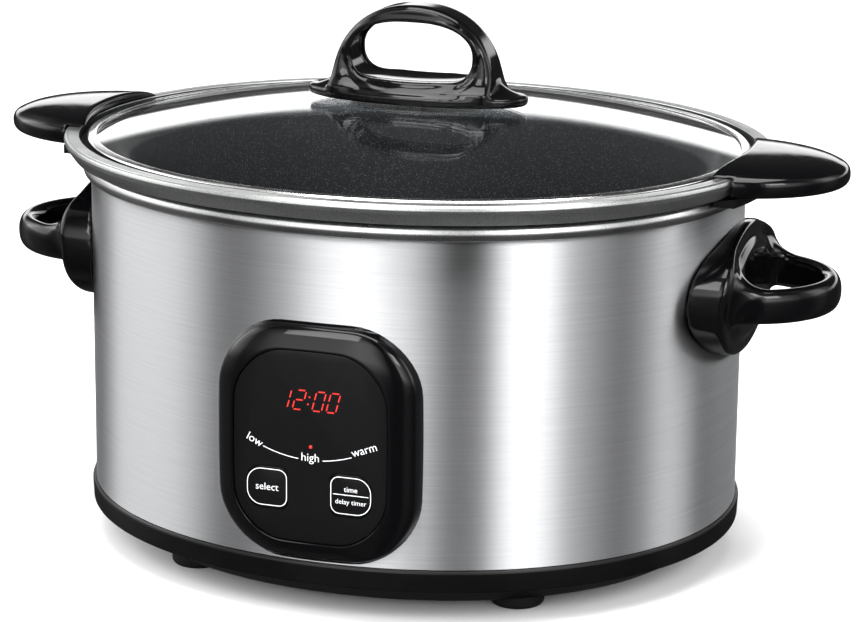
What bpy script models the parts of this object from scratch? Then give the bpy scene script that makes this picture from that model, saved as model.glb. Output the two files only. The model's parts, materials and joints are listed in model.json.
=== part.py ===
"""An oval slow cooker: a steel housing with its heating well and controls, a lift-out pot and a glass lid.

Sizes are in millimetres and are turned to metres in one place. The origin is on the table under the centre
of the oval. +X is to the right of someone who faces the control panel, and -Y is the panel's side.
"""

import math

import bmesh
import bpy
import numpy as np

MM = 0.001
GAP = 0.35
OVAL_STEPS = 40
OVAL_POWER = 2.04

# Housing wrap: half length and half width of the oval, and its two ends in height.
WRAP_A = 162.0
WRAP_B = 142.0
WRAP_BOTTOM = 28.3
WRAP_TOP = 187.4
WRAP_WALL = 0.8

# Bead ring round the top of the wrap.
BEAD_OUT = 4.2
BEAD_IN = 8.0
BEAD_BOTTOM = 183.6
BEAD_TOP = 191.0

# Heating well and what is round it.
WELL_WALL = 0.8
WELL_FLOOR = 38.0
WELL_TOP_INSET = 14.0
WELL_FLOOR_INSET = 21.0
SENSOR_HOLE = 10.0
HEATER_LOW = 60.0
HEATER_HIGH = 120.0
HEATER_WALL = 2.2
BLANKET_WALL = 3.2
BLANKET_MARGIN = 4.0

# Base moulding.
BASE_TOP = 28.0
BASE_OUT = 1.4
BASE_STEP = 16.7
TRAY_BOTTOM = 6.7
TRAY_INSET = 18.4
TRAY_FLOOR = 9.2
TRAY_WALL = 2.6
TRAY_OPENING = (90.0, 70.0)
COVER_HALF = (100.0, 80.0)
COVER_THICK = 2.0
COVER_SCREW = (67.0, 53.0)
POST_PLACES = ((-70.0, -32.0), (-70.0, 32.0), (30.0, -32.0), (30.0, 32.0))
POST_TOP = 14.6
POST_RADIUS = 3.0

# Feet.
FOOT_X = 81.4
FOOT_Y = 86.0
FOOT_RADIUS = 13.0
FOOT_STUB = 4.0

# Control panel: bezel, window, buttons.
PANEL_HALF = (50.0, 57.0)
PANEL_Z = 86.6
PANEL_CORNER = 27.0
PANEL_FRONT = -149.6
WINDOW_HALF = (38.0, 47.0)
WINDOW_Z = 84.0
WINDOW_CORNER = 20.0
WINDOW_FRONT = -147.4
WINDOW_THICK = 2.0
OPENING_HALF = (34.0, 43.0)
BUTTON_HALF = 10.0
BUTTON_CORNER = 4.0
BUTTON_Z = 64.0
BUTTON_X = {"select": -21.0, "timer": 20.0}
BUTTON_TRAVEL = 0.8
BOARD_FRONT = -136.4
BOARD_THICK = 1.6
LED_X = {"low": -27.0, "high": 0.0, "warm": 27.0}
LED_Z = {"low": 94.0, "high": 85.4, "warm": 94.0}
LED_RADIUS = 1.5
DISPLAY_HALF = (17.0, 4.1, 9.0)
DISPLAY_Z = 107.0

# Electrics in the base: each block's finish, middle on the board, and half sizes.
POWER_BOARD_X = -20.0
POWER_BOARD_HALF = (56.0, 38.0)
POWER_BLOCKS = {
    "transformer": ("grey_plastic", (-50.0, 10.0), (14.0, 16.0, 8.0)),
    "power_relay": ("satin_black", (-12.0, 14.0), (9.5, 7.5, 7.5)),
    "terminal_block": ("grey_plastic", (17.0, 14.0), (10.0, 8.0, 6.0)),
}
FUSE_PLACE = (60.0, -20.0)
FUSE_RADIUS = 2.4
FUSE_HALF_LENGTH = 9.0
SENSOR_STEM = 4.0
SENSOR_HEAD = 8.6
GLAND_Z = 44.0
GLAND_RADIUS = 7.4
GLAND_BORE = 4.0
GLAND_COLLAR = 11.0
LEAD_RADIUS = 1.0
LEAD_TURNS = {"front": -math.tau / OVAL_STEPS, "rear": math.tau / OVAL_STEPS}

# Side handles.
PLATE_HALF = (57.0, 32.0)
PLATE_Z = 141.5
PLATE_FACE = 168.5
STEP_HALF = (48.0, 25.0)
STEP_FACE = 171.5
LOOP_X = 165.0
LOOP_REACH = 42.6
LOOP_HALF_WIDTH = 40.5
LOOP_THICK = 9.6
LOOP_TALL = 15.0
SIDE_SCREW_Y = 35.0
SCREW_RADIUS = 1.9
SCREW_HEAD = 3.8

# Pot.
POT_WALL = 2.4
POT_BOTTOM = 46.0
POT_TOP_INSET = 17.0
POT_FLOOR_INSET = 23.0
POT_CORNER = 20.0
FLANGE_BOTTOM = 191.4
LEDGE = 196.6
RIM_TOP = 202.3
RIM_OUT = 13.0
RIM_IN = 5.7

# Pot handles and the clips below them.
LOBE_X = 158.0
LOBE_REACH = 56.5
LOBE_HALF_WIDTH = 47.0
LOBE_BOTTOM = 194.2
LOBE_EDGE = 200.0
LOBE_CROWN = 210.5
SCOOP_OUT = 3.2
CLIP_IN = 5.0
CLIP_OUT = 20.0
CLIP_BOTTOM = 187.0
CLIP_HALF_WIDTH = 44.0
LOBE_SCREW = (178.0, 18.0)

# Lid.
BAND_OUT = 1.7
BAND_IN = 2.8
BAND_BOTTOM = 197.0
BAND_TOP = 202.2
BAND_SHEET = 0.5
GLASS_INSET = 1.6
GLASS_EDGE = 201.2
GLASS_RISE = 18.4
GLASS_THICK = 3.4
GLASS_POWER = 2.2
KNOB_HOLE = 4.0

# Knob.
KNOB_HALF = (57.0, 23.0)
KNOB_BOTTOM = 221.0
KNOB_LIP = 225.6
KNOB_FOOT = 232.0
KNOB_TOP = 267.0
ARCH_OUT = 44.0
ARCH_IN = 27.0
ARCH_INNER_TOP = 259.0
ARCH_DEPTH = 8.5
ARCH_POWER = 2.6

FINISHES = {
    "brushed_steel": ((0.72, 0.72, 0.73), 0.28, 1.0),
    "spun_steel": ((0.62, 0.62, 0.61), 0.34, 1.0),
    "galvanised": ((0.55, 0.56, 0.57), 0.45, 1.0),
    "gloss_black": ((0.012, 0.012, 0.013), 0.12, 0.0),
    "satin_black": ((0.02, 0.02, 0.02), 0.45, 0.0),
    "window_black": ((0.01, 0.01, 0.01), 0.2, 0.0),
    "rubber": ((0.02, 0.02, 0.02), 0.8, 0.0),
    "nonstick": ((0.03, 0.03, 0.032), 0.4, 0.2),
    "glass": ((0.9, 0.93, 0.92), 0.03, 0.0),
    "board": ((0.02, 0.18, 0.07), 0.5, 0.0),
    "red_lens": ((0.7, 0.02, 0.02), 0.25, 0.0),
    "white_wool": ((0.8, 0.78, 0.72), 0.9, 0.0),
    "grey_plastic": ((0.25, 0.25, 0.26), 0.5, 0.0),
    "silicone": ((0.5, 0.5, 0.5), 0.5, 0.0),
}


# Helpers -----------------------------------------------------------------------------------------------


def clear_scene():
    for obj in list(bpy.data.objects):
        bpy.data.objects.remove(obj)


def finish_material(name):
    material = bpy.data.materials.get(name)
    if material:
        return material
    colour, roughness, metallic = FINISHES[name]
    material = bpy.data.materials.new(name)
    material.use_nodes = True
    shader = material.node_tree.nodes["Principled BSDF"]
    shader.inputs["Base Color"].default_value = (*colour, 1.0)
    shader.inputs["Roughness"].default_value = roughness
    shader.inputs["Metallic"].default_value = metallic
    return material


def add_object(name, mesh_data, finish, parent=None, sharp=30.0):
    """Makes an object from a bmesh in millimetres, with its faces outward."""
    bmesh.ops.recalc_face_normals(mesh_data, faces=mesh_data.faces)
    bmesh.ops.scale(mesh_data, vec=(MM, MM, MM), verts=mesh_data.verts)
    mesh = bpy.data.meshes.new(name)
    mesh_data.to_mesh(mesh)
    mesh_data.free()
    mesh.shade_smooth()
    mesh.set_sharp_from_angle(angle=math.radians(sharp))
    obj = bpy.data.objects.new(name, mesh)
    bpy.context.scene.collection.objects.link(obj)
    if finish:
        mesh.materials.append(finish_material(finish))
    if parent:
        obj.parent = parent
        obj.matrix_parent_inverse = parent.matrix_world.inverted()
    return obj


def add_cutter(name, mesh_data):
    cutter = add_object(name, mesh_data, None)
    cutter.hide_render = True
    cutter.display_type = "WIRE"
    return cutter


def combine(obj, other, operation):
    modifier = obj.modifiers.new(operation.title() + " " + other.name, "BOOLEAN")
    modifier.operation = operation
    modifier.solver = "EXACT"
    modifier.object = other


def cut(obj, *cutters):
    for cutter in cutters:
        combine(obj, cutter, "DIFFERENCE")


def add_pivot(name, place):
    pivot = bpy.data.objects.new(name, None)
    pivot.location = [value * MM for value in place]
    bpy.context.scene.collection.objects.link(pivot)
    bpy.context.view_layer.update()
    return pivot


def power_point(half_a, half_b, angle, power=OVAL_POWER):
    """A point of a superellipse, at the given angle of its parameter."""
    cosine = math.cos(angle)
    sine = math.sin(angle)
    x = half_a * math.copysign(abs(cosine) ** (2.0 / power), cosine)
    y = half_b * math.copysign(abs(sine) ** (2.0 / power), sine)
    return x, y


def oval_ring(half_a, half_b, z, steps=OVAL_STEPS):
    angles = [math.tau * step / steps for step in range(steps)]
    return [(*power_point(half_a, half_b, angle), z) for angle in angles]


def around(profile):
    """Rings for a list of (distance outside the wrap, height)."""
    return [oval_ring(WRAP_A + out, WRAP_B + out, z) for out, z in profile]


def skin(rings, joined):
    """A closed mesh through rings of equal length: joined in a loop, or capped at both ends."""
    data = bmesh.new()
    loops = [[data.verts.new(point) for point in ring] for ring in rings]
    count = len(loops[0])
    pairs = list(zip(loops, loops[1:]))
    if joined:
        pairs.append((loops[-1], loops[0]))
    for low, high in pairs:
        for i in range(count):
            j = (i + 1) % count
            data.faces.new((low[i], low[j], high[j], high[i]))
    if not joined:
        data.faces.new(list(reversed(loops[0])))
        data.faces.new(loops[-1])
    return data


def oval_band(profile):
    return skin(around(profile), joined=True)


def oval_plate(half_a, half_b, low, high, steps=OVAL_STEPS):
    return skin([oval_ring(half_a, half_b, low, steps), oval_ring(half_a, half_b, high, steps)], joined=False)


def oval_prism(out, low, high):
    return oval_plate(WRAP_A + out, WRAP_B + out, low, high)


def box(centre, half):
    data = bmesh.new()
    bmesh.ops.create_cube(data, size=2.0)
    bmesh.ops.scale(data, vec=half, verts=data.verts)
    bmesh.ops.translate(data, vec=centre, verts=data.verts)
    return data


def circle_ring(radius, level, steps, place=(0.0, 0.0, 0.0), axis="Z"):
    """A circle about an axis through place, at a level along that axis."""
    ring = []
    for step in range(steps):
        angle = math.tau * step / steps
        first = radius * math.cos(angle)
        second = radius * math.sin(angle)
        point = {"X": (level, first, second), "Y": (first, level, second), "Z": (first, second, level)}[axis]
        ring.append(tuple(a + b for a, b in zip(point, place)))
    return ring


def turned(profile, steps, place=(0.0, 0.0, 0.0), axis="Z"):
    """A solid turned from (radius, level) pairs, with flat ends."""
    return skin([circle_ring(radius, level, steps, place, axis) for radius, level in profile], joined=False)


def pin(radius, low, high, place, axis="Z", steps=12):
    return turned([(radius, low), (radius, high)], steps, place, axis)


def pipe(outer, inner, low, high, place, axis, steps=16):
    profile = [(inner, low), (outer, low), (outer, high), (inner, high)]
    return skin([circle_ring(radius, level, steps, place, axis) for radius, level in profile], joined=True)


def rounded_outline(half_x, half_z, radii, corner_steps=4):
    """A rectangle's outline with a radius for each corner: top right, top left, bottom left, bottom right."""
    points = []
    for number, radius in enumerate(radii):
        side_x = (1, -1, -1, 1)[number]
        side_z = (1, 1, -1, -1)[number]
        start = math.pi / 2 * number
        for step in range(corner_steps + 1):
            angle = start + math.pi / 2 * step / corner_steps
            x = side_x * (half_x - radius) + radius * math.cos(angle)
            z = side_z * (half_z - radius) + radius * math.sin(angle)
            points.append((x, z))
    return points


def panel_slab(half, radii, front, back, centre_x, centre_z):
    """A rounded plate that stands in the X-Z plane between two depths."""
    outline = rounded_outline(half[0], half[1], radii)
    rings = [[(centre_x + x, depth, centre_z + z) for x, z in outline] for depth in (front, back)]
    return skin(rings, joined=False)


def mirrored(data):
    bmesh.ops.scale(data, vec=(-1.0, 1.0, 1.0), verts=data.verts)
    return data


def on_side(side, data):
    return data if side == "right" else mirrored(data)


def screw(name, place, axis, direction, shank, parent=None):
    """A pan-head screw: the head's seat is at place, and the shank runs along direction."""
    profile = [
        (SCREW_HEAD * 0.6, -2.6),
        (SCREW_HEAD, -1.6),
        (SCREW_HEAD, 0.0),
        (SCREW_RADIUS, 0.0),
        (SCREW_RADIUS, shank - 1.0),
        (SCREW_RADIUS * 0.4, shank),
    ]
    profile = [(radius, height * direction) for radius, height in profile]
    add_object(name, turned(profile, 8, place, axis), "galvanised", parent)


# Housing -----------------------------------------------------------------------------------------------


def build_wrap():
    profile = [(0.0, WRAP_BOTTOM), (0.0, WRAP_TOP), (-WRAP_WALL, WRAP_TOP), (-WRAP_WALL, WRAP_BOTTOM)]
    wrap = add_object("housing_wrap", oval_band(profile), "brushed_steel")
    opening = panel_slab(
        (OPENING_HALF[0] + 2.0, OPENING_HALF[1] + 2.0), (12.0,) * 4, -155.0, -120.0, 0.0, WINDOW_Z
    )
    cut(wrap, add_cutter("cut_panel_opening", opening))
    gland_hole = pin(GLAND_RADIUS + GAP, 130.0, 150.0, (0.0, 0.0, GLAND_Z), "Y", 16)
    cut(wrap, add_cutter("cut_gland_hole", gland_hole))
    for side in (-1.0, 1.0):
        for y in (-SIDE_SCREW_Y, SIDE_SCREW_Y):
            hole = pin(SCREW_RADIUS + GAP, side * 150.0, side * 166.0, (0.0, y, PLATE_Z), "X")
            cut(wrap, add_cutter(f"cut_screw_{side:.0f}_{y:.0f}", hole))


def build_bead():
    inner_wall = GAP
    profile = [
        (inner_wall, BEAD_BOTTOM),
        (inner_wall, WRAP_TOP + GAP),
        (-BEAD_IN, WRAP_TOP + GAP),
        (-BEAD_IN, BEAD_TOP),
        (0.5, BEAD_TOP),
        (2.6, BEAD_TOP - 0.8),
        (3.9, BEAD_TOP - 2.4),
        (BEAD_OUT, BEAD_TOP - 4.3),
        (3.6, BEAD_TOP - 6.2),
        (2.4, BEAD_BOTTOM),
    ]
    add_object("housing_rim", oval_band(profile), "spun_steel")


def well_inset(z):
    """How far inside the wrap the well's outer wall is, at a height."""
    share = (z - WELL_FLOOR) / (WRAP_TOP - WELL_FLOOR)
    return WELL_FLOOR_INSET + (WELL_TOP_INSET - WELL_FLOOR_INSET) * share


def build_well():
    flange = WRAP_TOP - WELL_WALL - 0.2
    outer = [
        (-WELL_FLOOR_INSET - 12.0, WELL_FLOOR),
        (-WELL_FLOOR_INSET - 4.0, WELL_FLOOR + 3.0),
        (-well_inset(WELL_FLOOR + 12.0), WELL_FLOOR + 12.0),
        (-WELL_TOP_INSET, flange - 3.0),
        (-WELL_TOP_INSET + 2.0, flange),
        (-WRAP_WALL - 0.6, flange),
    ]
    inner = [
        (-WRAP_WALL - 0.6, flange + WELL_WALL),
        (-WELL_TOP_INSET + 1.4, flange + WELL_WALL),
        (-WELL_TOP_INSET - WELL_WALL, flange - 2.6),
        (-well_inset(WELL_FLOOR + 12.0) - WELL_WALL, WELL_FLOOR + 12.4),
        (-WELL_FLOOR_INSET - 4.6, WELL_FLOOR + 3.9),
        (-WELL_FLOOR_INSET - 12.3, WELL_FLOOR + WELL_WALL),
    ]
    low = circle_ring(SENSOR_HOLE, WELL_FLOOR, OVAL_STEPS)
    high = circle_ring(SENSOR_HOLE, WELL_FLOOR + WELL_WALL, OVAL_STEPS)
    rings = [low] + around(outer) + around(inner) + [high]
    add_object("heating_well", skin(rings, joined=True), "galvanised")


def wall_band(name, inner_gap, thick, low, high, finish):
    """A band that follows the well's sloping wall."""
    profile = [
        (-well_inset(low) + inner_gap, low),
        (-well_inset(low) + inner_gap + thick, low),
        (-well_inset(high) + inner_gap + thick, high),
        (-well_inset(high) + inner_gap, high),
    ]
    add_object(name, oval_band(profile), finish)


def build_heater():
    wall_band("heater_band", GAP + 0.1, HEATER_WALL, HEATER_LOW, HEATER_HIGH, "galvanised")
    low = HEATER_LOW - BLANKET_MARGIN
    high = HEATER_HIGH + BLANKET_MARGIN
    wall_band("insulation_band", HEATER_WALL + 1.0, BLANKET_WALL, low, high, "white_wool")


def build_base_shell():
    lip_out = -WRAP_WALL - GAP
    outer = [
        (BASE_OUT, BASE_TOP),
        (BASE_OUT + 0.4, BASE_TOP - 1.2),
        (BASE_OUT, BASE_STEP + 1.0),
        (-2.0, BASE_STEP),
        (-TRAY_INSET + 2.0, TRAY_BOTTOM + 1.2),
        (-TRAY_INSET, TRAY_BOTTOM),
    ]
    inner = [
        (-TRAY_INSET, TRAY_FLOOR),
        (-2.6 - TRAY_WALL, BASE_STEP + 2.2),
        (lip_out - 1.6, BASE_TOP - 3.0),
        (lip_out - 1.6, BASE_TOP + 5.0),
        (lip_out, BASE_TOP + 5.0),
        (lip_out, BASE_TOP),
    ]
    low = oval_ring(*TRAY_OPENING, TRAY_BOTTOM)
    high = oval_ring(*TRAY_OPENING, TRAY_FLOOR)
    rings = around(outer) + [low, high] + around(inner)
    shell = add_object("base_shell", skin(rings, joined=True), "satin_black")
    for x, y in foot_places():
        hole = pin(FOOT_STUB + GAP, 0.0, 20.0, (x, y, 0.0))
        cut(shell, add_cutter(f"cut_foot_{x:.0f}_{y:.0f}", hole))
    for x, y in cover_screw_places():
        hole = pin(SCREW_RADIUS + GAP, 0.0, 20.0, (x, y, 0.0))
        cut(shell, add_cutter(f"cut_base_screw_{x:.0f}_{y:.0f}", hole))


def four_places(x, y):
    return [(sx * x, sy * y) for sx in (-1, 1) for sy in (-1, 1)]


def foot_places():
    return four_places(FOOT_X, FOOT_Y)


def cover_screw_places():
    return four_places(*COVER_SCREW)


def corner_name(x, y):
    return ("front" if y < 0 else "rear") + "_" + ("left" if x < 0 else "right")


def build_base_cover():
    top = TRAY_BOTTOM - GAP
    cover = add_object("base_cover", oval_plate(*COVER_HALF, top - COVER_THICK, top), "satin_black")
    for x, y in POST_PLACES:
        post = pin(POST_RADIUS, top - 1.0, POST_TOP, (x, y, 0.0))
        combine(cover, add_cutter(f"post_{x:.0f}_{y:.0f}", post), "UNION")
    for x, y in cover_screw_places():
        hole = pin(SCREW_RADIUS + GAP, 0.0, 20.0, (x, y, 0.0))
        cut(cover, add_cutter(f"cut_cover_screw_{x:.0f}_{y:.0f}", hole))
        seat = (x, y, top - COVER_THICK - GAP)
        screw("base_screw_" + corner_name(x, y), seat, "Z", 1.0, 8.5)


def build_feet():
    top = TRAY_BOTTOM - GAP
    profile = [
        (FOOT_RADIUS - 2.0, 0.0),
        (FOOT_RADIUS, 1.6),
        (FOOT_RADIUS, top),
        (FOOT_STUB, top),
        (FOOT_STUB, TRAY_FLOOR + 1.2),
    ]
    for x, y in foot_places():
        add_object("foot_" + corner_name(x, y), turned(profile, 20, (x, y, 0.0)), "rubber")


# Controls ----------------------------------------------------------------------------------------------


def build_bezel():
    back = -120.0
    inset = 9.0
    ring_steps = (
        (0.0, back),
        (0.0, PANEL_FRONT + 5.0),
        (1.6, PANEL_FRONT + 1.8),
        (4.2, PANEL_FRONT),
        (inset, PANEL_FRONT + 1.2),
    )
    rings = []
    for step_in, depth in ring_steps:
        corner = (PANEL_CORNER - step_in * 0.5,) * 4
        outline = rounded_outline(PANEL_HALF[0] - step_in, PANEL_HALF[1] - step_in, corner)
        rings.append([(x, depth, PANEL_Z + z) for x, z in outline])
    bezel = add_object("control_bezel", skin(rings, joined=False), "gloss_black")
    recess_half = (WINDOW_HALF[0] + GAP, WINDOW_HALF[1] + GAP)
    recess_back = WINDOW_FRONT + WINDOW_THICK + GAP
    recess = panel_slab(recess_half, (WINDOW_CORNER,) * 4, -160.0, recess_back, 0.0, WINDOW_Z)
    opening = panel_slab(OPENING_HALF, (12.0,) * 4, -158.0, -110.0, 0.0, WINDOW_Z)
    body = oval_prism(GAP, 10.0, 180.0)
    cut(bezel, add_cutter("cut_bezel_body", body))
    cut(bezel, add_cutter("cut_bezel_recess", recess), add_cutter("cut_bezel_opening", opening))


def button_radii(name):
    """The side of each button that faces the panel's edge is rounder."""
    small = BUTTON_CORNER
    large = BUTTON_HALF * 0.8
    return (small, large, large, small) if name == "select" else (large, small, small, large)


def build_window():
    radii = (WINDOW_CORNER,) * 4
    back = WINDOW_FRONT + WINDOW_THICK
    sheet = panel_slab(WINDOW_HALF, radii, WINDOW_FRONT, back, 0.0, WINDOW_Z)
    window = add_object("control_window", sheet, "window_black")
    for name, x in BUTTON_X.items():
        half = (BUTTON_HALF + GAP, BUTTON_HALF + GAP)
        hole = panel_slab(half, button_radii(name), -155.0, -130.0, x, BUTTON_Z)
        cut(window, add_cutter(f"cut_button_{name}", hole))


def build_buttons():
    """Each cap has a flange behind the window and a stem that reaches the switch."""
    flange_front = WINDOW_FRONT + WINDOW_THICK + GAP
    stem_end = BOARD_FRONT - 3.4 - GAP - BUTTON_TRAVEL
    for name, x in BUTTON_X.items():
        pivot = add_pivot(f"{name}_axis", (x, WINDOW_FRONT, BUTTON_Z))
        half = (BUTTON_HALF, BUTTON_HALF)
        cap = panel_slab(half, button_radii(name), WINDOW_FRONT - 0.2, flange_front + 1.0, x, BUTTON_Z)
        button = add_object(f"{name}_button", cap, "window_black", pivot)
        flange = panel_slab((11.2, 11.2), (4.0,) * 4, flange_front, flange_front + 1.2, x, BUTTON_Z)
        stem = pin(2.0, flange_front + 0.5, stem_end, (x, 0.0, BUTTON_Z), "Y")
        combine(button, add_cutter(f"flange_{name}", flange), "UNION")
        combine(button, add_cutter(f"stem_{name}", stem), "UNION")


def build_control_board():
    back = BOARD_FRONT + BOARD_THICK
    board = panel_slab(OPENING_HALF, (4.0,) * 4, BOARD_FRONT, back, 0.0, WINDOW_Z)
    add_object("control_board", board, "board")
    front = BOARD_FRONT - GAP - DISPLAY_HALF[1]
    add_object("display_module", box((0.0, front, DISPLAY_Z), DISPLAY_HALF), "red_lens")
    for name, x in LED_X.items():
        profile = [(LED_RADIUS, BOARD_FRONT - GAP), (LED_RADIUS, -143.5), (LED_RADIUS * 0.5, -144.4)]
        add_object("led_" + name, turned(profile, 8, (x, 0.0, LED_Z[name]), "Y"), "red_lens")
    for name, x in BUTTON_X.items():
        body = box((x, BOARD_FRONT - GAP - 1.3, BUTTON_Z), (3.0, 1.3, 3.0))
        switch = add_object(f"switch_{name}", body, "grey_plastic")
        plunger = pin(1.5, BOARD_FRONT - 1.5, BOARD_FRONT - 3.4, (x, 0.0, BUTTON_Z), "Y")
        combine(switch, add_cutter(f"plunger_{name}", plunger), "UNION")


# Electrics in the base ---------------------------------------------------------------------------------


def build_power_parts():
    middle = POST_TOP + GAP + BOARD_THICK / 2
    top = POST_TOP + GAP + BOARD_THICK
    add_object("power_board", box((POWER_BOARD_X, 0.0, middle), (*POWER_BOARD_HALF, BOARD_THICK / 2)), "board")
    for name, (finish, (x, y), half) in POWER_BLOCKS.items():
        add_object(name, box((x, y, top + GAP + half[2]), half), finish)


def build_fuse():
    """A glass-cloth sleeved thermal fuse, just under the well's floor."""
    taper = [
        (FUSE_RADIUS * 0.67, -FUSE_HALF_LENGTH),
        (FUSE_RADIUS, 2.0 - FUSE_HALF_LENGTH),
        (FUSE_RADIUS, FUSE_HALF_LENGTH - 2.0),
        (FUSE_RADIUS * 0.67, FUSE_HALF_LENGTH),
    ]
    place = (*FUSE_PLACE, WELL_FLOOR - GAP - FUSE_RADIUS)
    add_object("thermal_fuse", turned(taper, 8, place, "Y"), "white_wool")


def build_sensor():
    """The sensor that stands through the well's floor and touches the pot's underside."""
    top = POT_BOTTOM - GAP
    profile = [
        (SENSOR_STEM, WELL_FLOOR - 16.0),
        (SENSOR_STEM, WELL_FLOOR - 1.0),
        (SENSOR_HEAD, WELL_FLOOR - 0.8),
        (SENSOR_HEAD, top - 1.2),
        (SENSOR_HEAD - 1.6, top),
    ]
    add_object("pot_sensor", turned(profile, 16), "galvanised")


def build_gland():
    place = (0.0, 0.0, GLAND_Z)
    body = pipe(GLAND_RADIUS, GLAND_BORE, WRAP_B - 8.0, WRAP_B + 5.0, place, "Y")
    gland = add_object("cord_gland", body, "satin_black")
    collar = pipe(GLAND_COLLAR, GLAND_BORE + 1.0, WRAP_B + 1.0, WRAP_B + 4.0, place, "Y")
    combine(gland, add_cutter("gland_collar", collar), "UNION")


def lead_route(turn):
    """A heater lead's route: out of the terminal block, past the well's corner, up to the heater band."""
    under_band = (-well_inset(HEATER_LOW) + GAP + 0.1 + HEATER_WALL / 2, HEATER_LOW - GAP)
    _, (block_x, block_y), block_half = POWER_BLOCKS["terminal_block"]
    start_x = block_x + block_half[0] + GAP
    route = [(start_x, block_y + turn * 20.0, 23.0), (start_x + 33.0, block_y + turn * 50.0, 24.0)]
    for out, z in ((-26.0, 30.0), (-19.0, 40.0), (-18.7, 50.0), under_band):
        x, y = power_point(WRAP_A + out, WRAP_B + out, turn)
        route.append((x, y, z))
    return route


def smooth_route(points, steps):
    """A Catmull-Rom curve through the route's points."""
    knots = [np.array(point) for point in (points[0], *points, points[-1])]
    found = []
    for before, start, end, after in zip(knots, knots[1:], knots[2:], knots[3:]):
        bend = 2 * before - 5 * start + 4 * end - after
        twist = 3 * start - before - 3 * end + after
        for step in range(steps):
            t = step / steps
            found.append(0.5 * (2 * start + (end - before) * t + bend * t**2 + twist * t**3))
    found.append(knots[-1])
    return found


def build_leads():
    for name, turn in LEAD_TURNS.items():
        curve = bpy.data.curves.new(f"heater_lead_{name}", "CURVE")
        curve.dimensions = "3D"
        curve.bevel_depth = LEAD_RADIUS * MM
        curve.bevel_resolution = 1
        curve.use_fill_caps = True
        points = smooth_route(lead_route(turn), 4)
        spline = curve.splines.new("POLY")
        spline.points.add(len(points) - 1)
        for slot, point in zip(spline.points, points):
            slot.co = (*(point * MM), 1.0)
        curve.materials.append(finish_material("white_wool"))
        lead = bpy.data.objects.new(curve.name, curve)
        bpy.context.scene.collection.objects.link(lead)


# Side handles ------------------------------------------------------------------------------------------


def loop_sweep():
    """The grip: an oval section carried along half an ellipse, out from the plate and back to it."""
    count = 16
    rings = []
    for step in range(count + 1):
        angle = -math.pi / 2 + math.pi * step / count
        cosine = math.cos(angle)
        sine = math.sin(angle)
        middle = np.array((LOOP_X + LOOP_REACH * cosine, LOOP_HALF_WIDTH * sine, PLATE_Z - 0.5))
        across = np.array((LOOP_HALF_WIDTH * cosine, LOOP_REACH * sine, 0.0))
        across /= np.linalg.norm(across)
        up = np.array((0.0, 0.0, 1.0))
        ring = []
        for side in range(10):
            turn = math.tau * side / 10
            offset = across * math.cos(turn) * LOOP_THICK / 2 + up * math.sin(turn) * LOOP_TALL / 2
            ring.append(tuple(middle + offset))
        rings.append(ring)
    return skin(rings, joined=False)


def plate_prism(half, back, face):
    outline = [power_point(half[0], half[1], math.tau * step / 32, 2.0) for step in range(32)]
    levels = ((0.0, back), (0.0, face - 1.2), (1.2, face))
    rings = []
    for inset, x in levels:
        shrink_y = (half[0] - inset) / half[0]
        shrink_z = (half[1] - inset) / half[1]
        rings.append([(x, y * shrink_y, PLATE_Z + z * shrink_z) for y, z in outline])
    return skin(rings, joined=False)


def build_side_handle(side):
    sign = 1.0 if side == "right" else -1.0
    plate = on_side(side, plate_prism(PLATE_HALF, 138.0, PLATE_FACE))
    handle = add_object(f"side_handle_{side}", plate, "gloss_black")
    step = on_side(side, plate_prism(STEP_HALF, 150.0, STEP_FACE))
    combine(handle, add_cutter(f"step_{side}", step), "UNION")
    combine(handle, add_cutter(f"loop_{side}", on_side(side, loop_sweep())), "UNION")
    cut(handle, add_cutter(f"cut_handle_body_{side}", oval_prism(GAP, 90.0, 182.0)))
    for y in (-SIDE_SCREW_Y, SIDE_SCREW_Y):
        row = "front" if y < 0 else "rear"
        hole = pin(SCREW_RADIUS + GAP, sign * 150.0, sign * 167.5, (0.0, y, PLATE_Z), "X")
        cut(handle, add_cutter(f"cut_handle_{side}_{row}", hole))
        screw(f"side_screw_{side}_{row}", (sign * 154.2, y, PLATE_Z), "X", sign, 12.5)


# Pot ---------------------------------------------------------------------------------------------------


def build_pot(pivot):
    floor = POT_BOTTOM + POT_WALL
    outer = [
        (-POT_FLOOR_INSET - POT_CORNER, POT_BOTTOM),
        (-POT_FLOOR_INSET - POT_CORNER * 0.3, POT_BOTTOM + POT_CORNER * 0.3),
        (-POT_FLOOR_INSET, POT_BOTTOM + POT_CORNER),
        (-POT_TOP_INSET, FLANGE_BOTTOM - 4.0),
        (-POT_TOP_INSET + 3.0, FLANGE_BOTTOM),
        (3.2, FLANGE_BOTTOM),
        (8.8, FLANGE_BOTTOM + 1.4),
        (RIM_OUT - 0.6, 198.0),
        (RIM_OUT, 200.0),
        (RIM_OUT - 0.7, 201.7),
        (RIM_OUT - 2.2, RIM_TOP),
    ]
    inner = [
        (RIM_IN, RIM_TOP),
        (RIM_IN - 0.5, LEDGE),
        (-POT_TOP_INSET + 4.0, LEDGE - 0.6),
        (-POT_TOP_INSET - POT_WALL, LEDGE - 7.0),
        (-POT_FLOOR_INSET - POT_WALL, POT_BOTTOM + POT_CORNER),
        (-POT_FLOOR_INSET - POT_CORNER * 0.38, floor + POT_CORNER * 0.22),
        (-POT_FLOOR_INSET - POT_CORNER, floor),
    ]
    add_object("pot", skin(around(outer + inner), joined=False), "nonstick", pivot)


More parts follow.
